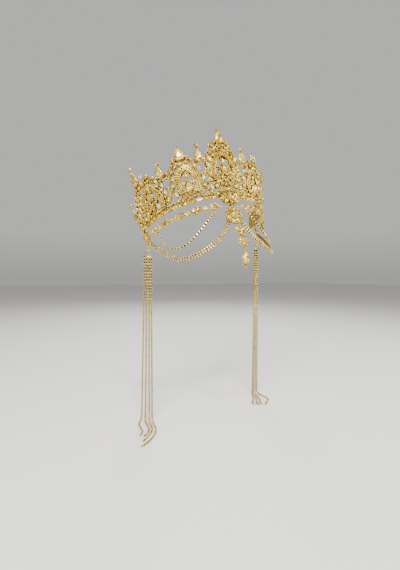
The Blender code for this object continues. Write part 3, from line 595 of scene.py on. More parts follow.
gaps = (
    (0.038, 0.505, 0.061, 0.127, -24, 0.22), (0.061, 0.370, 0.050, 0.135, 0, 0.26),
    (0.055, 0.630, 0.036, 0.070, -60, 0.16), (0.112, 0.480, 0.036, 0.068, 8, 0.24),
    (0.105, 0.122, 0.039, 0.104, -64, 0.14), (0.045, 0.155, 0.044, 0.062, 30, 0.22),
    (0.194, 0.455, 0.099, 0.159, 0, 0.30), (0.163, 0.298, 0.057, 0.099, -14, 0.24),
    (0.223, 0.325, 0.039, 0.057, 0, 0.24), (0.140, 0.215, 0.042, 0.098, -60, 0.14),
    (0.217, 0.165, 0.036, 0.055, 0, 0.24), (0.254, 0.405, 0.036, 0.057, 20, 0.24),
    (0.178, 0.120, 0.034, 0.065, 60, 0.18), (0.353, 0.345, 0.059, 0.106, -25, 0.18),
    (0.293, 0.345, 0.059, 0.106, 25, 0.18), (0.362, 0.226, 0.052, 0.123, 20, 0.22),
    (0.267, 0.232, 0.040, 0.137, 0, 0.28), (0.385, 0.480, 0.040, 0.116, -38, 0.16),
    (0.277, 0.486, 0.044, 0.122, 40, 0.16), (0.414, 0.400, 0.031, 0.047, 0, 0.24),
    (0.488, 0.388, 0.080, 0.130, 0, 0.30), (0.478, 0.250, 0.057, 0.083, 10, 0.26),
    (0.428, 0.316, 0.039, 0.083, -50, 0.16), (0.426, 0.234, 0.044, 0.075, 15, 0.24),
    (0.461, 0.140, 0.062, 0.109, 10, 0.26), (0.404, 0.142, 0.036, 0.057, 0, 0.24),
    (0.524, 0.115, 0.044, 0.052, 0, 0.24), (0.535, 0.405, 0.031, 0.059, 0, 0.24),
    (0.606, 0.445, 0.038, 0.104, 38, 0.16), (0.681, 0.440, 0.042, 0.114, -38, 0.16),
    (0.617, 0.325, 0.057, 0.107, 20, 0.20), (0.690, 0.330, 0.065, 0.117, -20, 0.20),
    (0.590, 0.192, 0.052, 0.130, -8, 0.26), (0.703, 0.205, 0.039, 0.070, 0, 0.24),
    (0.745, 0.460, 0.070, 0.091, -25, 0.24), (0.796, 0.375, 0.052, 0.073, 0, 0.26),
    (0.797, 0.475, 0.034, 0.065, -20, 0.20), (0.745, 0.340, 0.039, 0.081, 25, 0.20),
    (0.793, 0.280, 0.065, 0.068, 20, 0.26), (0.776, 0.180, 0.047, 0.068, 20, 0.24),
    (0.842, 0.420, 0.042, 0.073, -20, 0.22), (0.846, 0.305, 0.044, 0.081, 0, 0.24),
    (0.838, 0.180, 0.052, 0.081, -15, 0.26), (0.892, 0.262, 0.047, 0.104, -15, 0.22),
    (0.896, 0.130, 0.049, 0.075, 15, 0.26), (0.943, 0.205, 0.039, 0.091, 0, 0.24),
)


def rowsOf(columns, rows):
    return [dict(zip(columns, row)) for row in rows]


def flatEdge():
    rows = rowsOf(edgeColumns, edge)
    return [(row["at"] * crown["halfSweep"] * flatDegree, row["up"] * crown["height"]) for row in rows]


def gapOutline(gap, side):
    halfWide = gap["wide"] * crown["height"] / 2
    halfTall = gap["tall"] * crown["height"] / 2
    shoulder = gap["full"] * 2 * halfTall
    corners = (
        (0.0, halfTall), (halfWide, shoulder), (halfWide, -shoulder),
        (0.0, -halfTall), (-halfWide, -shoulder), (-halfWide, shoulder),
    )
    lean = radians(gap["lean"])
    x0, y0 = side * gap["at"] * crown["halfSweep"] * flatDegree, gap["up"] * crown["height"]
    turned = [(x * cos(lean) + y * sin(lean), y * cos(lean) - x * sin(lean)) for x, y in corners]
    return [(x0 + side * x, y0 + y) for x, y in turned]


def onWall(x, y, lift):
    return wallPlace(x / flatDegree, y, lift).translation


# A flat sheet inside the first loop and outside the others, before it is bent.
def flatSheet(loops):
    flat = bpy.data.curves.new("flatSheet", "CURVE")
    flat.dimensions = "2D"
    flat.fill_mode = "BOTH"
    flat.extrude = plate["halfThick"]
    for corners in loops:
        spline = flat.splines.new("POLY")
        spline.use_cyclic_u = True
        spline.points.add(len(corners) - 1)
        for target, corner in zip(spline.points, corners):
            target.co = (*corner, 0.0, 1.0)
    blank = bpy.data.objects.new("flatSheet", flat)
    bpy.context.scene.collection.objects.link(blank)
    bpy.context.view_layer.update()
    mesh = bpy.data.meshes.new_from_object(blank.evaluated_get(bpy.context.evaluated_depsgraph_get()))
    bpy.data.objects.remove(blank)
    sheet = bmesh.new()
    sheet.from_mesh(mesh)
    bmesh.ops.remove_doubles(sheet, verts=sheet.verts, dist=1e-6)
    return sheet


# The sheet is creased at even steps and bent onto the wall. Milled wires edge it and its gaps.
def makePlate(piece, pierced):
    upper = smooth([(x, y, 0) for x, y in flatEdge()], plate["edgeSteps"])
    half = [(point.x, point.y) for point in upper] + [(upper[-1].x, plate["foot"])]
    outline = [(-x, y) for x, y in reversed(half)] + half
    holes = []
    for gap in rowsOf(gapColumns, gaps):
        for side in (-1, 1):
            corners = smooth([(x, y, 0) for x, y in gapOutline(gap, side)], plate["gapSteps"], closed=True)
            holes.append([(corner.x, corner.y) for corner in corners])
    sheet = flatSheet([outline, *holes, *pierced])
    folds = int(2 * crown["halfSweep"] / plate["bendStep"])
    for fold in range(1, folds):
        across = (2 * fold / folds - 1) * crown["halfSweep"] * flatDegree
        everything = [*sheet.verts, *sheet.edges, *sheet.faces]
        bmesh.ops.bisect_plane(sheet, geom=everything, dist=1e-5, plane_co=(across, 0, 0), plane_no=(1, 0, 0))
    points = [tuple(onWall(v.co.x, v.co.y, v.co.z)) for v in sheet.verts]
    heights = [v.co.z for v in sheet.verts]
    faces = [tuple(v.index for v in face.verts) for face in sheet.faces]
    sheet.free()
    addShape(piece, shapeFrom(points, faces), gilt)
    # The front faces, between the stones, take the darkened metal as painted shade; the back faces stay gilt.
    front = [sum(heights[corner] for corner in face) > 0 for face in faces]
    piece["materials"][-len(faces):] = [shadedGilt if faced else gilt for faced in front]
    for corners in holes:
        route = evenly([(x, y, 0) for x, y in [*corners, corners[0]]], plate["wirePitch"])[:-1]
        route = route[:len(route) // 2 * 2]  # an even count, so that the beads meet
        points = [onWall(point.x, point.y, plate["halfThick"]) for point in route]
        wire(piece, points, plate["wireRadius"], closed=True, beads=milled)
    route = evenly([(x, y, 0) for x, y in outline], plate["rimPitch"])
    wire(piece, [onWall(point.x, point.y, plate["halfThick"]) for point in route], plate["rimRadius"], beads=milled)


# Stones on both sides of the wall: degrees from the brow, then mm up and across; they lean away from the brow at the
# top. Their thickness in mm is a share of the width and a little more.

wallStone = {"lift": 0.0008, "thickShare": 0.42, "thickMore": 0.7}
wallStoneColumns = ("at", "up", "kind", "wide", "tall", "lean", "glass")
wallStones = (
    (5.0, 61.3, "marquise", 4.0, 7.8, -52, champagne), (9.4, 55.6, "round", 5.0, 5.0, 0, amber),
    (11.4, 48.6, "pear", 5.2, 8.8, 31, clear), (12.9, 40.8, "marquise", 4.4, 8.6, 24, clear),
    (13.1, 31.0, "marquise", 4.6, 8.6, 37, champagne), (18.2, 26.6, "marquise", 4.4, 8.6, -20, clear),
    (23.4, 43.0, "marquise", 4.0, 7.0, 16, champagne), (20.1, 37.6, "round", 4.8, 4.8, 0, champagne),
    (12.9, 14.7, "marquise", 4.2, 7.8, 26, clear), (6.6, 21.2, "marquise", 4.0, 7.4, -59, champagne),
    (5.0, 31.1, "round", 4.8, 4.8, 0, champagne), (2.4, 25.2, "marquise", 4.0, 6.6, 20, amber),
    (25.0, 49.0, "round", 4.0, 4.0, 0, amber), (36.6, 45.6, "marquise", 4.2, 7.6, -68, amber),
    (40.3, 41.3, "round", 4.4, 4.4, 0, champagne), (45.3, 37.8, "round", 3.6, 3.6, 0, amber),
    (40.6, 33.6, "marquise", 4.0, 7.6, 22, champagne), (41.6, 26.6, "marquise", 3.8, 6.8, 25, clear),
    (48.6, 24.3, "pear", 4.8, 8.2, 7, champagne), (49.6, 32.6, "marquise", 3.6, 7.0, 6, clear),
    (40.6, 15.6, "marquise", 3.8, 7.0, 34, clear), (47.6, 14.2, "marquise", 4.4, 7.6, 4, champagne),
    (44.2, 20.8, "round", 3.6, 3.6, 0, amber), (53.7, 39.7, "marquise", 3.8, 7.0, 25, clear),
    (57.0, 41.6, "round", 4.2, 4.2, 0, topaz), (64.4, 46.4, "round", 4.2, 4.2, 0, topaz),
    (57.9, 13.6, "pear", 4.8, 7.8, 21, clear), (63.2, 15.0, "marquise", 4.8, 12.4, 9, amber),
    (30.4, 12.6, "round", 5.0, 5.0, 0, topaz), (27.6, 16.2, "round", 3.8, 3.8, 0, amber),
    (33.2, 16.6, "round", 3.8, 3.8, 0, topaz), (70.8, 45.6, "round", 4.2, 4.2, 0, amber),
    (74.0, 36.9, "marquise", 4.0, 7.8, 23, clear), (75.4, 29.4, "marquise", 4.0, 7.6, 24, clear),
    (78.4, 40.2, "marquise", 3.8, 7.2, 6, champagne), (80.8, 27.0, "marquise", 4.0, 7.6, 30, champagne),
    (82.6, 35.4, "marquise", 3.8, 7.2, 25, clear), (74.2, 23.6, "round", 3.8, 3.8, 0, amber),
    (77.4, 17.1, "marquise", 4.0, 7.8, 81, champagne), (83.8, 20.6, "marquise", 4.0, 8.0, -10, clear),
    (87.6, 25.6, "round", 4.0, 4.0, 0, amber), (87.6, 16.4, "marquise", 3.8, 7.4, 18, champagne),
    (81.0, 11.8, "round", 4.0, 4.0, 0, topaz), (91.6, 12.4, "marquise", 4.0, 8.0, -8, amber),
    (71.8, 12.0, "marquise", 3.8, 7.4, -20, champagne),
    (0.0, 58.4, "round", 4.4, 4.4, 0, amber), (0.0, 63.3, "round", 4.2, 4.2, 0, topaz),
    (0.0, 17.4, "round", 5.0, 5.0, 0, amber), (0.0, 22.4, "round", 4.2, 4.2, 0, champagne),
)

# Pave arches: routes listed as degrees from the brow and mm up
arch = {
    "wide": 0.0052,
    "thick": 0.0014,
    "shoulder": (0.86, 0.8),
    "stone": 0.0023,
    "stoneThick": 0.0014,
    "seat": 0.6,
    "pitch": 0.0024,
    "groove": 0.35,
    "edgeAt": (0.97, 0.9),
    "edgeWire": 0.00032,
    "edgePitch": 0.0005,
    "bead": 0.0004,
    "beadRise": 0.0003,
}
archRoutes = (
    ((0.5, 55.2), (5.0, 50.4), (7.6, 43.7), (9.4, 35.6), (9.6, 28.5), (8.4, 23.6)),
    ((30.0, 43.4), (27.0, 38.1), (24.5, 32.3), (23.2, 25.5), (23.2, 19.3), (24.4, 13.5)),
    ((30.0, 43.4), (33.1, 40.0), (35.9, 35.1), (37.3, 28.7), (37.2, 21.6), (35.7, 15.1)),
    ((61.4, 41.3), (57.8, 33.2), (54.4, 26.1), (53.1, 19.7), (53.1, 13.3), (53.6, 8.6)),
    ((61.4, 41.3), (64.9, 38.1), (67.9, 33.9), (69.6, 27.5), (69.4, 20.5), (67.8, 12.9)),
)

# What fills the wall, in mm: the radii tried in turn, how far a round may stand over an edge and how near to another,
# and the small openings, with the metal left between them and how far they may run under a stone
filler = {
    "sizes": (2.4, 2.05, 1.7, 1.4),
    "glasses": (amber, champagne, champagne, topaz, clear, amber, champagne),
    "overhang": 0.15,
    "apart": 0.05,
    "grid": 0.4,
    "lowest": 1.5,
    "middle": 1.5,
    "thickShare": 0.8,
    "thickMore": 0.6,
}
punch = {"largest": 1.5, "smallest": 0.5, "web": 0.45, "under": 0.25, "corners": 10}

# Room in mm kept round what else stands on the wall: across and up from its place, and radius
room = {
    "spire": ((-3.5, 0.0, 2.0), (0.0, 0.0, 2.0), (3.5, 0.0, 2.0), (0.0, 5.0, 4.2)),
    "flank": (0.3, -0.4, 2.4),
    "dangle": ((0.0, -1.5, 3.4), (0.0, 3.0, 2.0)),
    "dangleLeaf": 2.0,
    "medallion": ((0.0, 0.0, 8.7), (4.5, 0.0, 8.2), (8.5, 0.0, 4.6)),
    "baseLeaf": ((-3.2, 0.0, 1.9), (0.0, 0.0, 2.8), (3.2, 0.0, 1.9)),
    "baseRound": 2.7,
}


def setWallStone(piece, row, side):
    thick = wallStone["thickShare"] * row["wide"] + wallStone["thickMore"]
    size = (row["wide"] / 1000, row["tall"] / 1000, thick / 1000)
    place = wallPlace(side * row["at"], row["up"] / 1000, wallStone["lift"], -side * row["lean"])
    {"marquise": setMarquise, "pear": setPear, "round": setRound}[row["kind"]](piece, size, place, row["glass"])


# Places along a route on the wall, X along it and Z out of the wall.
def archPlaces(route, side, pitch, lift):
    points = [(side * at, up / 1000, 0.0) for at, up in route]
    flat = evenly([(p.x * flatDegree, p.y, 0.0) for p in smooth(points, 6)], pitch)
    places = []
    for index, point in enumerate(flat):
        ahead = flat[min(index + 1, len(flat) - 1)]
        behind = flat[max(index - 1, 0)]
        lean = np.degrees(np.arctan2(ahead.y - behind.y, ahead.x - behind.x))
        places.append(wallPlace(point.x / flatDegree, point.y, lift, lean))
    return places


# A raised strip with two rows of small stones in cups between two milled wires. Its top and sides are darkened metal
# as painted shade between the stones; its underside shows through the openings and is gilt.
def setArch(piece, route, side):
    places = archPlaces(route, side, arch["pitch"], plate["halfThick"])
    half, thick = arch["wide"] / 2, arch["thick"]
    narrowed, shoulder = half * arch["shoulder"][0], thick * arch["shoulder"][1]
    section = (
        (-half, 0.0), (half, 0.0), (half, shoulder), (narrowed, thick), (-narrowed, thick), (-half, shoulder),
    )
    first = len(piece["faces"])
    rings = [[tuple(place @ Vector((0.0, y, z))) for y, z in section] for place in places]
    addShape(piece, lofted(rings), shadedGilt)
    for level in range(len(places) - 1):
        piece["materials"][first + level * len(section)] = gilt
    edgeShare, edgeHeight = arch["edgeAt"]
    for hand in (-1, 1):
        points = [place @ Vector((0.0, hand * half * edgeShare, thick * edgeHeight)) for place in places]
        wire(piece, evenly(points, arch["edgePitch"]), arch["edgeWire"], beads=milled)
    bead = ball(arch["bead"], 1.0, 6, 4)
    for index, place in enumerate(places):
        for row in (-1, 1):
            glass = amber if (index * 2 + row) % 5 == 0 else champagne
            spot = place @ shifted(y=row * arch["stone"] / 2, z=thick * arch["seat"])
            smallStone(piece, arch["stone"], arch["stoneThick"], spot, glass)
        if index < len(places) - 1:
            spot = place @ shifted(x=arch["pitch"] / 2, z=thick + arch["beadRise"])
            addShape(piece, bead, gilt, spot, smooth=True)


def denseRoute(points, closed, spacing=0.25):
    points = np.array(points, dtype=float)
    if closed:
        points = np.vstack([points, points[:1]])
    found = []
    for a, b in zip(points[:-1], points[1:]):
        steps = max(1, int(hypot(*(b - a)) / spacing))
        found += [a + (b - a) * step / steps for step in range(steps)]
    return np.array(found)


# What already lies on one half of the wall, as circles in mm: x, y, radius.
def takenCircles():
    circles = []

    def keep(x, y, spots):
        circles.extend((x + across, y + rise, radius) for across, rise, radius in spots)

    def flatOf(row, level):
        return row["at"] * crown["halfSweep"] * flatDegree * 1000, row[level] * crown["height"] * 1000

    for row in rowsOf(wallStoneColumns, wallStones):
        x, y = row["at"] * flatDegree * 1000, row["up"]
        long = (row["tall"] - row["wide"]) / 2
        lean = radians(row["lean"])
        for share in (-1, -0.5, 0, 0.5, 1):
            radius = row["wide"] / 2 * (1 - 0.45 * abs(share) if long > 0 else 1)
            circles.append((x + long * share * sin(lean), y + long * share * cos(lean), radius))
    for route in archRoutes:
        for x, y in denseRoute([(at * flatDegree * 1000, up) for at, up in route], False, 1.0):
            circles.append((x, y, arch["wide"] * 500 + arch["groove"]))
    for row in rowsOf(spireColumns, spires):
        x, y = flatOf(row, "seat")
        keep(x, y, room["spire"])
        apart, rise, radius = room["flank"]
        reach = (largePear[0] + spire["flank"][0]) * 500 + apart
        keep(x, y, [(hand * reach, rise, radius) for hand in (-1, 1) if row["flanked"]])
    for row in rowsOf(dangleColumns, dangles):
        keep(*flatOf(row, "up"), room["dangle"])
        circles.append((*flatOf(row, "marquise"), room["dangleLeaf"]))
    keep(0.0, 0.0, room["medallion"])
    for pair in range(baseRow["pairs"]):
        x, y = (baseRow["start"] + pair * baseRow["step"]) * flatDegree * 1000, baseRow["rise"] * 1000
        keep(x, y, room["baseLeaf"])
        circles.append((x + baseRow["step"] / 2 * flatDegree * 1000, y, room["baseRound"]))
    return np.array(circles)


# Rounds fill what is left of the wall, the largest first. What room stays over is pierced.
def fillWall(piece):
    foot = plate["foot"] * 1000
    rim = np.array([(x * 1000, y * 1000) for x, y in flatEdge()])
    rim = np.vstack([rim, [(rim[-1][0], foot)]])
    outline = np.vstack([rim, [(0.0, foot)], [(0.0, rim[0][1])]])
    holes = [np.array(gapOutline(gap, 1)) * 1000 for gap in rowsOf(gapColumns, gaps)]
    border = np.vstack([
        denseRoute(rim, False), *(denseRoute(hole, True) for hole in holes),
        denseRoute([(0.0, foot), (rim[-1][0], foot)], False),
    ])
    xs = np.arange(0.0, rim[:, 0].max(), filler["grid"])
    ys = np.arange(filler["lowest"], crown["height"] * 1000, filler["grid"])
    grid = np.array([(x, y) for x in xs for y in ys])
    inside = insideOf(grid, outline)
    for hole in holes:
        inside &= ~insideOf(grid, hole)
    grid = grid[inside]

    def roomTo(x, y, radius):
        return np.hypot(grid[:, 0] - x, grid[:, 1] - y) - radius

    parts = np.array_split(grid, len(grid) // 500 + 1)
    edgeRoom = np.concatenate([np.sqrt(((part[:, None] - border[None]) ** 2).sum(2)).min(1) for part in parts])
    stoneRoom = np.min([roomTo(*circle) for circle in takenCircles()], axis=0)
    middle = np.where(grid[:, 0] < filler["middle"], grid[:, 0], np.inf)
    count = 0
    for size in filler["sizes"]:
        while True:
            free = np.minimum(np.minimum(edgeRoom + filler["overhang"], stoneRoom - filler["apart"]), middle)
            best = int(free.argmax())
            if free[best] < size:
                break
            x, y = grid[best]
            thick = filler["thickShare"] * size + filler["thickMore"]
            for side in (-1, 1):
                place = wallPlace(side * x / 1000 / flatDegree, y / 1000, wallStone["lift"])
                glass = filler["glasses"][count % len(filler["glasses"])]
                setRound(piece, (2 * size / 1000, 2 * size / 1000, thick / 1000), place, glass)
            stoneRoom = np.minimum(stoneRoom, roomTo(x, y, size))
            count += 1
    print("wall filled with", 2 * count, "rounds")
    pierced = []
    turns = [2 * pi * corner / punch["corners"] for corner in range(punch["corners"])]
    while True:
        free = np.minimum(np.minimum(edgeRoom - punch["web"], stoneRoom + punch["under"]), middle - punch["web"] / 2)
        best = int(free.argmax())
        if free[best] < punch["smallest"]:
            break
        x, y = grid[best]
        size = min(free[best], punch["largest"])
        for side in (-1, 1):
            pierced.append([((side * x + size * cos(t)) / 1000, (y + size * sin(t)) / 1000) for t in turns])
        edgeRoom = np.minimum(edgeRoom, roomTo(x, y, size))
    print("pierced", len(pierced), "small openings")
    return pierced


def insideOf(points, outline):
    x, y = points[:, 0], points[:, 1]
    inside = np.zeros(len(points), dtype=bool)
    for (x1, y1), (x2, y2) in zip(outline, np.roll(outline, -1, axis=0)):
        if y1 == y2:
            continue
        crosses = ((y1 > y) != (y2 > y)) & (x < (x2 - x1) * (y - y1) / (y2 - y1) + x1)
        inside ^= crosses
    return inside


# Spires over the edge, and the pears inside the arches

largePear = (0.0104, 0.0144, 0.0036)
smallPear = (0.0092, 0.0134, 0.0034)
spire = {
    "lift": 0.0011,
    "sink": 0.0004,
    "heart": (0.0040, 0.0040, 0.0024),
    "leaf": (0.0034, 0.0066, 0.0022),
    "leafLean": 62,
    "leafReach": 0.0034,
    "pearSink": 0.0012,
    "tip": (0.0056, 0.0056, 0.0030),
    "doubleTip": (0.0043, 0.0043, 0.0025),
    "flank": (0.0050, 0.0050, 0.0028),
    "flankGap": 0.0003,
    "stemWire": 0.0005,
    "stemDip": 0.0014,
    "stemLift": 0.0006,
    "spare": {"beside": "side", "at": 64.5, "up": 0.0548, "lean": 19, "size": (0.0038, 0.0087, 0.0024)},
}
spireColumns = ("name", "at", "seat", "pear", "tips", "flanked")
spires = (
    ("centre", 0.000, 0.798, largePear, (0.938, 0.978), True),
    ("inner", 0.200, 0.543, largePear, (0.742,), False),
    ("brow", 0.342, 0.607, largePear, (), True),
    ("temple", 0.515, 0.485, smallPear, (0.651,), False),
    ("outer", 0.638, 0.530, None, (0.592,), True),
    ("side", 0.757, 0.597, largePear, (0.820,), False),
    ("end", 0.968, 0.212, largePear, (0.472,), False),
)
dangle = {
    "thick": 0.0032,
    "leaf": (0.0034, 0.0068, 0.0022),
    "bead": (0.0026, 0.0026, 0.0018),
    "beadRise": 0.14,
}
dangleColumns = ("name", "at", "up", "wide", "tall", "marquise")
dangles = (
    ("centre", 0.000, 0.405, 0.0070, 0.0112, 0.525),
    ("brow", 0.320, 0.232, 0.0080, 0.0118, 0.385),
    ("outer", 0.653, 0.318, 0.0070, 0.0100, 0.430),
)


def makeSpire(row, sideName, side):
    piece = newPiece()
    seat = row["seat"] * crown["height"]
    foot = wallPlace(side * row["at"] * crown["halfSweep"], seat, spire["lift"])
    stemLift = Vector((0.0, 0.0, spire["stemLift"]))
    setRound(piece, spire["heart"], foot @ shifted(y=-spire["sink"]), topaz)
    for hand in (-1, 1):
        leaf = foot @ shifted(x=hand * spire["leafReach"], y=spire["sink"]) @ turnedBy(-hand * spire["leafLean"])
        setMarquise(piece, spire["leaf"], leaf, topaz)
    top = 0.0
    if row["pear"]:
        top = row["pear"][1]
        setPear(piece, row["pear"], foot @ shifted(y=top / 2 - spire["pearSink"]), champagne)
    tip = spire["doubleTip"] if len(row["tips"]) > 1 else spire["tip"]
    for share in row["tips"]:
        top = share * crown["height"] - seat
        setRound(piece, tip, foot @ shifted(y=top), amber)
    if row["flanked"]:
        reach = (largePear[0] + spire["flank"][0]) / 2 + spire["flankGap"]
        for hand in (-1, 1):
            setRound(piece, spire["flank"], foot @ shifted(x=hand * reach, y=-spire["sink"]), amber)
        ends = [foot @ (Vector((hand * reach, 0.0, 0.0)) + stemLift) for hand in (-1, 1)]
        rod(piece, *ends, spire["stemWire"])
    ends = [foot @ (Vector((0.0, height, 0.0)) + stemLift) for height in (-spire["stemDip"], top)]
    rod(piece, *ends, spire["stemWire"])
    spare = spire["spare"]
    if row["name"] == spare["beside"]:
        leaf = wallPlace(side * spare["at"], spare["up"], spire["lift"], -side * spare["lean"])
        setMarquise(piece, spare["size"], leaf, clear)
        end = leaf @ (Vector((0.0, -spare["size"][1] * 0.4, 0.0)) + stemLift)
        rod(piece, foot @ stemLift, end, spire["stemWire"], 3)
    standFor(piece, "spire_" + row["name"] + sideName, "_set")


def makeDangle(row, sideName, side):
    piece = newPiece()
    place = wallPlace(side * row["at"] * crown["halfSweep"], row["up"] * crown["height"], spire["lift"])
    rise = (row["marquise"] - row["up"]) * crown["height"]
    setPear(piece, (row["wide"], row["tall"], dangle["thick"]), place, champagne)
    setMarquise(piece, dangle["leaf"], place @ shifted(y=rise), clear)
    ends = [place @ Vector((0.0, height, spire["stemLift"])) for height in (0.0, rise)]
    rod(piece, *ends, spire["stemWire"], 3)
    setRound(piece, dangle["bead"], place @ shifted(y=rise / 2 + row["tall"] * dangle["beadRise"]), amber)
    standFor(piece, "dangle_" + row["name"] + sideName, "_set")


# The row along the foot and the band on the brow

baseRow = {
    "pairs": 7,
    "start": 14.2,
    "step": 10.3,
    "rise": 0.0034,
    "lift": 0.0011,
    "wide": 0.0058,
    "thick": 0.0026,
    "round": (0.0054, 0.0054, 0.0026),
    "roundSink": 0.0004,
    "sunk": 0.0006,
    "glasses": (amber, clear, amber, champagne, amber, champagne, amber),
}
band = {
    "units": 5,
    "start": 14.8,
    "step": 14.1,
    "drop": 0.0090,
    "lift": 0.0012,
    "wireRadius": 0.0005,
    "wireStart": 5.4,
    "milledRadius": 0.00045,
    "milledPitch": 0.0006,
    "milledDepth": 0.3,
    "spread": 0.0027,
    "leaf": 0.0060,
    "leafThick": 0.0025,
    "leafSunk": 0.0016,
    "leafLean": 8,
    "first": (0.0067, 0.0067, 0.0029),
    "second": (0.0060, 0.0060, 0.0027),
    "below": (0.0048, 0.0048, 0.0024),
    "heights": (0.0016, 0.0008, -0.0021),
    "belowLift": 0.0002,
}


def makeBaseRow(sideName, side):
    piece = newPiece()
    for pair in range(baseRow["pairs"]):
        angle = baseRow["start"] + pair * baseRow["step"]
        before, place, after = [
            wallPlace(side * (angle + part * baseRow["step"]), baseRow["rise"], baseRow["lift"])
            for part in (-0.5, 0, 0.5)
        ]
        gap = (after.translation - before.translation).length - baseRow["round"][0]
        size = (baseRow["wide"], gap + 2 * baseRow["sunk"], baseRow["thick"])
        setMarquise(piece, size, place @ turnedBy(90), baseRow["glasses"][pair])
        glass = amber if pair % 2 else champagne
        setRound(piece, baseRow["round"], after @ shifted(y=-baseRow["roundSink"]), glass)
    standFor(piece, "base_row" + sideName, "_set")


def makeBand(sideName, side):
    piece = newPiece()
    lift = band["lift"] - band["wireRadius"]
    firstHeight, secondHeight, belowHeight = band["heights"]
    last = None
    for unit in range(band["units"]):
        angle = band["start"] + unit * band["step"]
        place = wallPlace(side * angle, -band["drop"], lift)
        setRound(piece, band["first"], place @ shifted(x=-side * band["spread"], y=firstHeight), amber)
        setRound(piece, band["second"], place @ shifted(x=side * band["spread"], y=secondHeight), champagne)
        setRound(piece, band["below"], place @ shifted(y=belowHeight, z=band["belowLift"]), amber)
        if last:
            between = (place.translation - last.translation).length
            gap = between - 2 * band["spread"] - (band["first"][0] + band["second"][0]) / 2
            leaf = wallPlace(side * (angle - band["step"] / 2), -band["drop"], lift, side * band["leafLean"])
            size = (band["leaf"], gap + band["leafSunk"], band["leafThick"])
            setMarquise(piece, size, leaf @ turnedBy(90), champagne)
        last = place
    start = band["wireStart"]
    end = connector["angle"] - np.degrees(connector["radius"] / crown["ringDepth"]) * 0.82
    angles = [start + (end - start) * part / 40 for part in range(41)]
    route = [wallPlace(side * angle, -band["drop"], band["lift"]).translation for angle in angles]
    wire(piece, evenly(route, band["milledPitch"]), band["milledRadius"], beads=band["milledDepth"])
    standFor(piece, "forehead_band" + sideName, "_set")


# Flowers: medallions and side connectors

medallion = {
    "wide": 0.0250,
    "tall": 0.0174,
    "petal": (0.0046, 0.0074, 0.0028),
    "heart": (0.0070, 0.0070, 0.0034),
    "glasses": (champagne, champagne, champagne, clear, amber, amber, champagne, champagne),
}
foreheadMedallion = {
    "size": 0.0214,
    "drop": 0.0212,
    "lift": 0.0026,
    "angle": -1.0,
    "petal": (0.0056, 0.0068, 0.0028),
    "heart": (0.0084, 0.0084, 0.0038),
    "glasses": (amber, amber, amber, champagne, champagne, champagne, amber, amber),
    "lugSpread": 0.0006,
    "lugHeights": (-0.0050, -0.0090),
    "lugInset": (0.46, 0.40),
}
connector = {
    "angle": 86.6,
    "drop": 0.0062,
    "radius": 0.0048,
    "lift": 0.0004,
    "bloom": 0.0057,
    "bloomShift": (-0.0004, 0.0006),
    "turn": 34,
    "petal": (0.0047, 0.0053, 0.0027),
    "heart": (0.0048, 0.0048, 0.0028),
    "glasses": (amber,),
    "lug": ((0.0048, 0.0017), (0.0010, 0.0017), (-0.0020, 0.0014), (-0.0050, 0.0010)),
    "lugSpread": 0.0009,
}
# Shared by flowers, eyes and links
backingThick = 0.0012
eyeRadius = 0.0011
linkRadius = 0.0013
wireRadius = 0.0003
lugWire = 0.0005
clearance = 0.0003
pendantAngle = 1.8
# The backing's rings and the wires' places, as a share of the outline and a height
bloom = {
    "scallop": 0.05,
    "rings": ((0.90, 0.0), (0.99, 0.0003), (0.99, 0.0008), (0.92, backingThick)),
    "edgeAt": (0.95, 0.9 * backingThick),
    "edgeWire": 0.00034,
    "petalLift": 0.0004,
    "betweenAt": 0.43,
    "betweenSize": 0.42,
    "betweenThick": 0.0013,
    "betweenLift": 0.0008,
    "heartLift": 0.0010,
    "heartWireAt": (0.53, 0.0022),
}


# Petals round one large stone, small rounds between them at the rim, on a scalloped backing with a gilt back;
# the backing's front is darkened as painted shade between the stones.
def flower(piece, place, reach, petals, kind, look, turn=0.0):
    petalSize, heartSize = look["petal"], look["heart"]
    outline = roundOutline(reach[0], reach[1], 40)
    turns = [index / 40 * 2 * pi - pi / 2 - turn for index in range(40)]
    scallop = np.array([1 + bloom["scallop"] * (1 + cos(petals * t)) / 2 for t in turns])
    outline = outline * (scallop / scallop.max())[:, None]
    addShape(piece, lofted([ringOf(outline, share, height) for share, height in bloom["rings"]]), shadedGilt, place)
    piece["materials"][-2] = gilt
    edgeShare, edgeHeight = bloom["edgeAt"]
    edgeRoute = [place @ Vector((x * edgeShare, y * edgeShare, edgeHeight)) for x, y in outline]
    milledLoop(piece, edgeRoute, bloom["edgeWire"])
    for petal in range(petals):
        angle = 2 * pi * petal / petals + turn
        x = (reach[0] - petalSize[1]) / 2 * sin(angle)
        y = (reach[1] - petalSize[1]) / 2 * cos(angle)
        spot = place @ shifted(x, y, bloom["petalLift"]) @ Matrix.Rotation(-angle, 4, "Z")
        kind(piece, petalSize, spot, look["glasses"][petal % len(look["glasses"])])
        between = angle + pi / petals
        x, y = reach[0] * bloom["betweenAt"] * sin(between), reach[1] * bloom["betweenAt"] * cos(between)
        spot = place @ shifted(x, y, bloom["betweenLift"])
        smallStone(piece, petalSize[0] * bloom["betweenSize"], bloom["betweenThick"], spot, champagne)
    setRound(piece, heartSize, place @ shifted(z=bloom["heartLift"]), champagne)
    ringShare, ringHeight = bloom["heartWireAt"]
    heartRing = roundOutline(2 * heartSize[0] * ringShare, 2 * heartSize[0] * ringShare, 48)
    points = [place @ Vector((x, y, ringHeight)) for x, y in heartRing]
    wire(piece, points, wireRadius, closed=True, beads=milled)


def makeCentreMedallion():
    piece = newPiece()
    place = wallPlace(0.0, 0.0, band["lift"] + band["wireRadius"] + clearance)
    flower(piece, place, (medallion["wide"], medallion["tall"]), 8, setMarquise, medallion)
    standFor(piece, "centre_medallion", "_set")


# The pendant's eye is on the medallion's rim, a little to one side of its lowest point.
def pendantHeight():
    across = radians(pendantAngle - foreheadMedallion["angle"]) * crown["ringWidth"] / 2
    reach = foreheadMedallion["size"] / 2 + eyeRadius * 0.45
    return -foreheadMedallion["drop"] - (reach**2 - across**2) ** 0.5


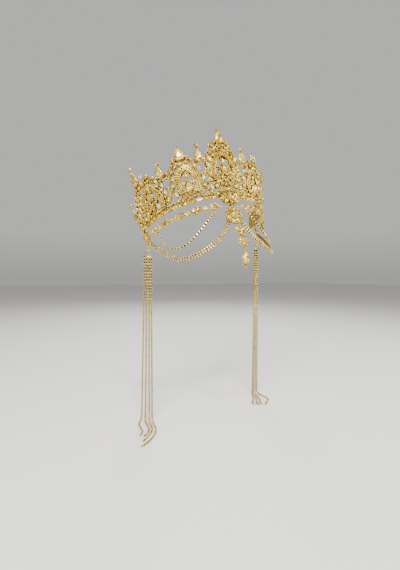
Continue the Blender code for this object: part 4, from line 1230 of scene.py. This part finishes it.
def makeForeheadMedallion():
    piece = newPiece()
    look, size, drop = foreheadMedallion, foreheadMedallion["size"], -foreheadMedallion["drop"]
    place = wallPlace(look["angle"], drop, look["lift"])
    flower(piece, place, (size, size), 8, setPear, look, pi / 8)
    low, high = band["lift"], look["lift"] + backingThick / 2
    heights = (*look["lugHeights"], *(drop + size * inset for inset in look["lugInset"]))
    lug = [wallPlace(look["angle"], *spot).translation for spot in zip(heights, (low, low, low, high))]
    for hand in (-1, 1):
        wire(piece, [point + Vector((hand * look["lugSpread"], 0.0, 0.0)) for point in lug], lugWire)
    eye = wallPlace(pendantAngle, pendantHeight(), look["lift"] + backingThick / 2)
    wireRing(piece, eyeRadius, wireRadius, eye)
    standFor(piece, "forehead_medallion", "_set")


def linkStep(first, second):
    return first + second - 2 * wireRadius - clearance * 0.8


edgeways = Matrix.Rotation(pi / 2, 4, "Y")
pendant = {
    "lobe": (0.0068, 0.0082, 0.0030),
    "lobeTurn": 104,
    "lobeReach": 0.42,
    "tier": 0.0120,
    "tierDrop": 0.46,
    "heart": (0.0030, 0.0030, 0.0018),
    "heartLift": 0.0012,
    "bead": 0.0007,
    "beadTurn": 52,
    "beadReach": 0.0042,
    "beadLift": 0.0008,
    "stemLift": 0.0009,
    "drop": (0.0092, 0.0145, 0.0036),
    "edgeAt": (0.97, 0.0010),
    "tip": (0.0056, 0.0056, 0.0030),
    "lean": 19.0,
}


def makeLink(node, place, tilted=True):
    piece = newPiece()
    wireRing(piece, linkRadius, wireRadius, place @ edgeways)
    standFor(piece, node, "_ring", tilted)


# Two tiers of three pears between two eyes, from the upper eye down. Gives the height of the lower one.
def makeCluster(height, lift, back):
    piece = newPiece()
    wireRing(piece, eyeRadius, wireRadius, wallPlace(pendantAngle, height, lift))
    lobeTall = pendant["lobe"][1]
    for tier in range(2):
        middle = height - eyeRadius - lobeTall * pendant["tierDrop"] - tier * pendant["tier"]
        centre = wallPlace(pendantAngle, middle, back)
        reach = lobeTall * pendant["lobeReach"]
        for turn in (-1, 0, 1):
            angle = radians(180 - pendant["lobeTurn"] * turn)
            lobe = centre @ shifted(sin(angle) * reach, cos(angle) * reach) @ Matrix.Rotation(pi - angle, 4, "Z")
            setPear(piece, pendant["lobe"], lobe, champagne if turn else amber)
        setRound(piece, pendant["heart"], centre @ shifted(z=pendant["heartLift"]), champagne)
        reach = pendant["beadReach"]
        for turn in (-1, 1):
            angle = radians(180 + pendant["beadTurn"] * turn)
            spot = centre @ shifted(sin(angle) * reach, cos(angle) * reach, pendant["beadLift"])
            addShape(piece, ball(pendant["bead"]), gilt, spot, smooth=True)
    eyeHeight = middle - lobeTall * 0.92 - eyeRadius / 2
    stem = [
        wallPlace(pendantAngle, level, back + pendant["stemLift"]).translation
        for level in (height - eyeRadius, eyeHeight + eyeRadius)
    ]
    rod(piece, *stem, lugWire)
    wireRing(piece, eyeRadius, wireRadius, wallPlace(pendantAngle, eyeHeight, lift))
    standFor(piece, "pendant_cluster", "_set")
    return eyeHeight


def makePendant():
    back = foreheadMedallion["lift"]
    lift = back + backingThick / 2
    height = pendantHeight() - linkStep(eyeRadius, linkRadius)
    makeLink("pendant_link_upper", wallPlace(pendantAngle, height, lift))
    height = makeCluster(height - linkStep(linkRadius, eyeRadius), lift, back) - linkStep(eyeRadius, linkRadius)
    makeLink("pendant_link_lower", wallPlace(pendantAngle, height, lift))

    height -= linkStep(linkRadius, eyeRadius)
    wide, tall, _ = pendant["drop"]
    drop = eyeRadius * 0.6 + tall / 2
    tip = drop + tall / 2 + pendant["tip"][1] * 0.34
    piece = newPiece()
    hang = wallPlace(pendantAngle, height, lift, -pendant["lean"])
    wireRing(piece, eyeRadius, wireRadius, hang)
    place = hang @ shifted(y=-drop, z=back - lift)
    setPear(piece, pendant["drop"], place, champagne)
    edgeShare, edgeHeight = pendant["edgeAt"]
    route = [place @ Vector((x * edgeShare, y * edgeShare, edgeHeight)) for x, y in pearOutline(wide, tall, 32)]
    milledLoop(piece, route, wireRadius)
    setRound(piece, pendant["tip"], hang @ shifted(y=-tip, z=back - lift), amber)
    standFor(piece, "pendant_drop", "_set")


def makeConnector(sideName, side):
    piece = newPiece()
    angle, size = side * connector["angle"], 2 * connector["bloom"]
    place = wallPlace(angle, -connector["drop"], connector["lift"])
    down, out = connector["bloomShift"]
    faced = place @ shifted(y=down, z=out) @ turnedBy(-side * connector["turn"], "Y")
    flower(piece, faced, (size, size), 5, setPear, connector)
    lug = [wallPlace(angle, height, lift).translation for height, lift in connector["lug"]]
    along = wallPlace(angle).col[0].to_3d()
    for hand in (-1, 0, 1):
        wire(piece, [point + along * hand * connector["lugSpread"] for point in lug], lugWire)
    eye = place @ shifted(y=-connector["radius"] - eyeRadius * 0.45, z=backingThick / 2)
    wireRing(piece, eyeRadius, wireRadius, eye)
    standFor(piece, "side_connector" + sideName, "_set")
    return (worn @ eye).translation


# Cup chains

# Cups as width, thickness and pitch; swags as degrees from the brow and how far under the ring
chain = {
    "single": (0.0029, 0.0020, 0.0039),
    "double": (0.0026, 0.0018, 0.0032),
    "strand": (0.0026, 0.0018, 0.0036),
    "rowsApart": 0.53,
    "lift": 0.0012,
    "seat": 0.25,
    "rim": 0.55,
    "link": 0.30,
    "linkHeight": 0.3,
    "glasses": (champagne, champagne, clear),
    "underMedallion": (4.2, 0.0228),
}
singleSwag = (
    (15.2, 0.0146), (19.3, 0.0196), (24.6, 0.0262), (30.0, 0.0325), (35.0, 0.0374),
    (40.0, 0.0408), (45.0, 0.0426), (50.0, 0.0420), (54.0, 0.0400), (58.5, 0.0355),
    (62.5, 0.0295), (65.2, 0.0235), (66.8, 0.0178), (67.3, 0.0117),
)
doubleSwag = (
    (5.6, 0.0264), (7.6, 0.0315), (10.0, 0.0365), (14.0, 0.0428), (19.0, 0.0480),
    (25.0, 0.0522), (31.5, 0.0553), (38.0, 0.0570), (44.0, 0.0568), (50.0, 0.0545),
    (56.0, 0.0490), (62.0, 0.0423), (68.0, 0.0350), (74.0, 0.0272), (80.0, 0.0190),
    (84.4, 0.0132),
)


# Cups at an even pitch with a wire between them, darkened as painted shade for the gaps between the cups.
# faceOut gives the way a stone looks at a point.
def cupChain(piece, route, faceOut, size, shift=0.0):
    across, thick, pitch = size
    points = evenly(route, pitch)
    middles = []
    for index, point in enumerate(points):
        ahead = points[min(index + 1, len(points) - 1)]
        behind = points[max(index - 1, 0)]
        along = (ahead - behind).normalized()
        out = faceOut(point)
        out = (out - along * out.dot(along)).normalized()
        place = Matrix((along, out.cross(along), out)).transposed().to_4x4()
        place.translation = point
        place = place @ shifted(y=shift, z=-thick / 2)
        middles.append(place @ Vector((0.0, 0.0, thick * chain["linkHeight"])))
        glass = chain["glasses"][index % len(chain["glasses"])]
        smallStone(piece, across, thick, place, glass, chain["seat"], chain["rim"])
    for ends in zip(middles, middles[1:]):
        wire(piece, ends, across * chain["link"], shadedGilt)


def makeSwags(sideName, side):
    leftDouble = (chain["underMedallion"], *doubleSwag)
    for name, stops, shifts in (
        ("single", singleSwag, (0.0,)),
        ("double", leftDouble if side > 0 else doubleSwag, (-chain["rowsApart"], chain["rowsApart"])),
    ):
        piece = newPiece()
        points = [wallPlace(side * angle, -drop, chain["lift"]).translation for angle, drop in stops]
        for shift in shifts:
            cupChain(piece, smooth(points, 6), wallOut, chain[name], shift * chain[name][0])
        standFor(piece, "swag_" + name + sideName, "_chain")


# The way out of the wall nearest a point under the ring.
def wallOut(point):
    turn = np.arctan2(point.x / (crown["ringWidth"] / 2), -point.y / crown["ringDepth"])
    return Vector((sin(turn) * crown["ringDepth"], -cos(turn) * crown["ringWidth"] / 2, 0.0)).normalized()


tassel = {
    "turn": 24.0,
    "ring": 0.0029,
    "ringWire": 0.0004,
    "barHeight": 0.0022,
    "barNeck": 0.0007,
    "barShoulder": 0.94,
    "dropLength": 0.0066,
    "dropRadius": 0.0017,
    "strandRadius": 0.0012,
    "strandPitch": 0.0027,
    "curl": 0.0140,
}
# Where the strands reach the ground and lie on it, across and back from the eye that carries them
rightStrandEnds = (
    ((-0.0062, 0.0075), (-0.0092, 0.0010), (-0.0122, -0.0060), (-0.0116, -0.0150),
     (-0.0118, -0.0235), (-0.0155, -0.0290)),
    ((-0.0018, 0.0055), (-0.0036, -0.0030), (-0.0032, -0.0120), (-0.0036, -0.0205),
     (-0.0068, -0.0280), (-0.0112, -0.0320)),
    ((0.0024, 0.0038), (0.0006, -0.0060), (0.0004, -0.0175), (-0.0026, -0.0275),
     (-0.0084, -0.0355), (-0.0142, -0.0408)),
    ((0.0058, 0.0022), (0.0044, -0.0080), (0.0040, -0.0210), (0.0010, -0.0312),
     (-0.0046, -0.0395), (-0.0106, -0.0452), (-0.0172, -0.0492)),
)
leftStrandEnds = (
    ((-0.0058, 0.0022), (-0.0080, -0.0040), (-0.0120, -0.0090), (-0.0164, -0.0132),
     (-0.0180, -0.0196)),
    ((-0.0024, 0.0038), (-0.0036, -0.0045), (-0.0072, -0.0110), (-0.0114, -0.0160),
     (-0.0124, -0.0222)),
    ((0.0018, 0.0055), (0.0010, -0.0030), (-0.0014, -0.0105), (-0.0054, -0.0165),
     (-0.0074, -0.0212)),
    ((0.0062, 0.0075), (0.0096, 0.0000), (0.0116, -0.0080), (0.0090, -0.0155),
     (0.0026, -0.0205), (-0.0024, -0.0248)),
)


def makeTassel(sideName, side, eye, ends):
    hang = Matrix.Translation(eye) @ turnedBy(side * tassel["turn"])
    upright = turnedBy(90, "X")

    def below(down):
        return hang @ shifted(z=-down)

    down = linkStep(eyeRadius, eyeRadius)
    long, deep = tassel["dropLength"], tassel["dropRadius"]
    middle = down + eyeRadius * 0.6 + long / 2
    piece = newPiece()
    wireRing(piece, eyeRadius, wireRadius, below(down) @ upright)
    front = below(middle) @ upright @ shifted(z=-deep * 0.75)
    setMarquise(piece, (2 * deep, long * 1.02, deep * 1.5), front, amber)
    down = middle + long / 2 + eyeRadius * 0.6
    wireRing(piece, eyeRadius, wireRadius, below(down) @ upright)
    standFor(piece, "drop_link" + sideName, "_set", tilted=False)

    down += linkStep(eyeRadius, linkRadius)
    makeLink("small_link" + sideName, below(down), tilted=False)

    wires = wireRadius + tassel["ringWire"]
    down += linkRadius + tassel["ring"] - wires - clearance * 0.8
    piece = newPiece()
    wireRing(piece, tassel["ring"], tassel["ringWire"], below(down) @ upright)
    standFor(piece, "tassel_ring" + sideName, "_ring", tilted=False)

    down += tassel["ring"] + linkRadius - wires - clearance * 0.8
    piece = newPiece()
    wireRing(piece, linkRadius, wireRadius, below(down) @ edgeways)
    down += linkRadius - wireRadius / 2 + tassel["barHeight"] / 2
    half, neck, full = len(ends) * tassel["strandPitch"] / 2, tassel["barNeck"], tassel["barHeight"] / 2
    shoulder = half * tassel["barShoulder"]
    turns = [2 * pi * (step + 0.5) / 12 for step in range(12)]
    rings = [
        [tuple(below(down) @ Vector((x, radius * cos(t), radius * sin(t)))) for t in turns]
        for x, radius in ((-half, neck), (-shoulder, full), (shoulder, full), (half, neck))
    ]
    addShape(piece, lofted(rings), gilt, smooth=True)
    standFor(piece, "tassel_bar" + sideName, "_cap", tilted=False)

    top = hang.translation.z - down - tassel["barHeight"] / 2 - clearance
    ground = -crown["groundDrop"] + tassel["strandRadius"]
    facing = (hang.to_3x3() @ Vector((0.0, -1.0, 0.0))).normalized()

    # Stones face outwards on the way down and upwards where they lie.
    def strandOut(point):
        rise = min(max((point.z - ground) / tassel["curl"], 0.0), 1.0)
        return (facing * rise + Vector((0.0, 0.0, 1.0)) * (1.0 - rise)).normalized()

    for index, end in enumerate(ends):
        across = (index - (len(ends) - 1) / 2) * tassel["strandPitch"]
        start = hang @ Vector((across, 0.0, 0.0))
        landing = Vector((eye.x + end[0][0], eye.y + end[0][1]))
        route = [(*start.xy.lerp(landing, 0.9), ground + tassel["curl"]), (*landing, ground + tassel["curl"] / 5)]
        route += [(eye.x + x, eye.y + y, ground) for x, y in end[1:]]
        piece = newPiece()
        cupChain(piece, [(*start.xy, top), *smooth(route, 8)], strandOut, chain["strand"])
        standFor(piece, "tassel_strand_%d%s" % (index + 1, sideName), "_chain", tilted=False)


rounds = newPiece()
pierced = fillWall(rounds)
finishPiece(rounds, "wall_rounds", [])

wall = newPiece()
makePlate(wall, pierced)
finishPiece(wall, "crown_plate", ["crown_frame"])
print("plate")


# What stands in the middle is made once, everything else on both sides.
def sidesOf(row):
    return (("", 1),) if row["at"] == 0 else (("_left", 1), ("_right", -1))


stones = newPiece()
for row in rowsOf(wallStoneColumns, wallStones):
    for _, side in sidesOf(row):
        setWallStone(stones, row, side)
finishPiece(stones, "wall_stones", [])

arches = newPiece()
for route in archRoutes:
    for side in (1, -1):
        setArch(arches, route, side)
finishPiece(arches, "pave_arches", [])
print("wall")

for makeOne, columns, rows in ((makeSpire, spireColumns, spires), (makeDangle, dangleColumns, dangles)):
    for row in rowsOf(columns, rows):
        for sideName, side in sidesOf(row):
            makeOne(row, sideName, side)
print("spires and dangles")

makeCentreMedallion()
makeForeheadMedallion()
makePendant()
print("medallions and pendant")

for sideName, side, ends in (("_left", 1, leftStrandEnds), ("_right", -1, rightStrandEnds)):
    makeBaseRow(sideName, side)
    makeBand(sideName, side)
    makeSwags(sideName, side)
    eye = makeConnector(sideName, side)
    makeTassel(sideName, side, eye, ends)
print("chains and tassels")


# Floor, light and camera

studio = {
    "floor": "#ECEAE6",
    "floorRoughness": 0.7,
    "floorBelow": 0.0002,
    "worldStrength": 0.62,
    "sky": ((0.0, "#D3D2CF"), (0.14, "#F2F2F0"), (0.70, "#F2F2F0"), (0.95, "#4A4A4C")),
    "aim": (0.0, 0.0, -0.05),
}

bpy.ops.mesh.primitive_plane_add(size=12.0, location=(0.0, 0.0, -crown["groundDrop"] - studio["floorBelow"]))
floor = bpy.context.object
floor.name = "floor"
paper = {"Base Color": linear(studio["floor"]), "Roughness": studio["floorRoughness"]}
floor.data.materials.append(freshMaterial("matt paper", paper)[0])

world = bpy.data.worlds.new("studio")
world.use_nodes = True
sky = world.node_tree
way = addNode(sky, "ShaderNodeTexCoord").outputs["Generated"]
height = addNode(sky, "ShaderNodeSeparateXYZ", links={"Vector": way}).outputs["Z"]
fade = addNode(sky, "ShaderNodeValToRGB", links={"Fac": height})
stops = fade.color_ramp.elements
stops[1].position = studio["sky"][-1][0]
for level, _ in studio["sky"][1:-1]:
    stops.new(level)
for stop, (_, colour) in zip(stops, studio["sky"]):
    stop.color = linear(colour)
sky.links.new(fade.outputs["Color"], sky.nodes["Background"].inputs["Color"])
sky.nodes["Background"].inputs["Strength"].default_value = studio["worldStrength"]
bpy.context.scene.world = world

lampColumns = ("name", "place", "size", "power", "colour")
lamps = (
    ("key", (-0.55, -0.75, 0.75), 0.60, 25.0, "#FFFFFF"),
    ("fill", (0.85, -0.55, 0.35), 0.50, 7.0, "#FFFFFF"),
    ("rim", (0.30, 0.85, 0.80), 0.40, 10.0, "#FFFFFF"),
    ("sparkle", (-0.10, -0.60, 0.95), 0.10, 6.0, "#FFFFFF"),
)
for lamp in rowsOf(lampColumns, lamps):
    light = bpy.data.lights.new(lamp["name"], "AREA")
    light.size = lamp["size"]
    light.energy = lamp["power"]
    light.color = linear(lamp["colour"])[:3]
    holder = bpy.data.objects.new(lamp["name"], light)
    holder.location = lamp["place"]
    holder.rotation_euler = (Vector(studio["aim"]) - Vector(lamp["place"])).to_track_quat("-Z", "Y").to_euler()
    bpy.context.scene.collection.objects.link(holder)

view = {
    "place": (-0.158, -0.3415, -0.0663),
    "turn": -24.13,
    "lens": 17.29,
    "sensor": 36.0,
    "shiftUp": -8 / 570,
    "nearest": 0.01,
}
cameraData = bpy.data.cameras.new("camera")
cameraData.sensor_width = view["sensor"]
cameraData.lens = view["lens"]
cameraData.shift_y = view["shiftUp"]
cameraData.clip_start = view["nearest"]
camera = bpy.data.objects.new("camera", cameraData)
camera.location = view["place"]
camera.rotation_euler = (pi / 2, 0.0, radians(view["turn"]))
bpy.context.scene.collection.objects.link(camera)
bpy.context.scene.camera = camera
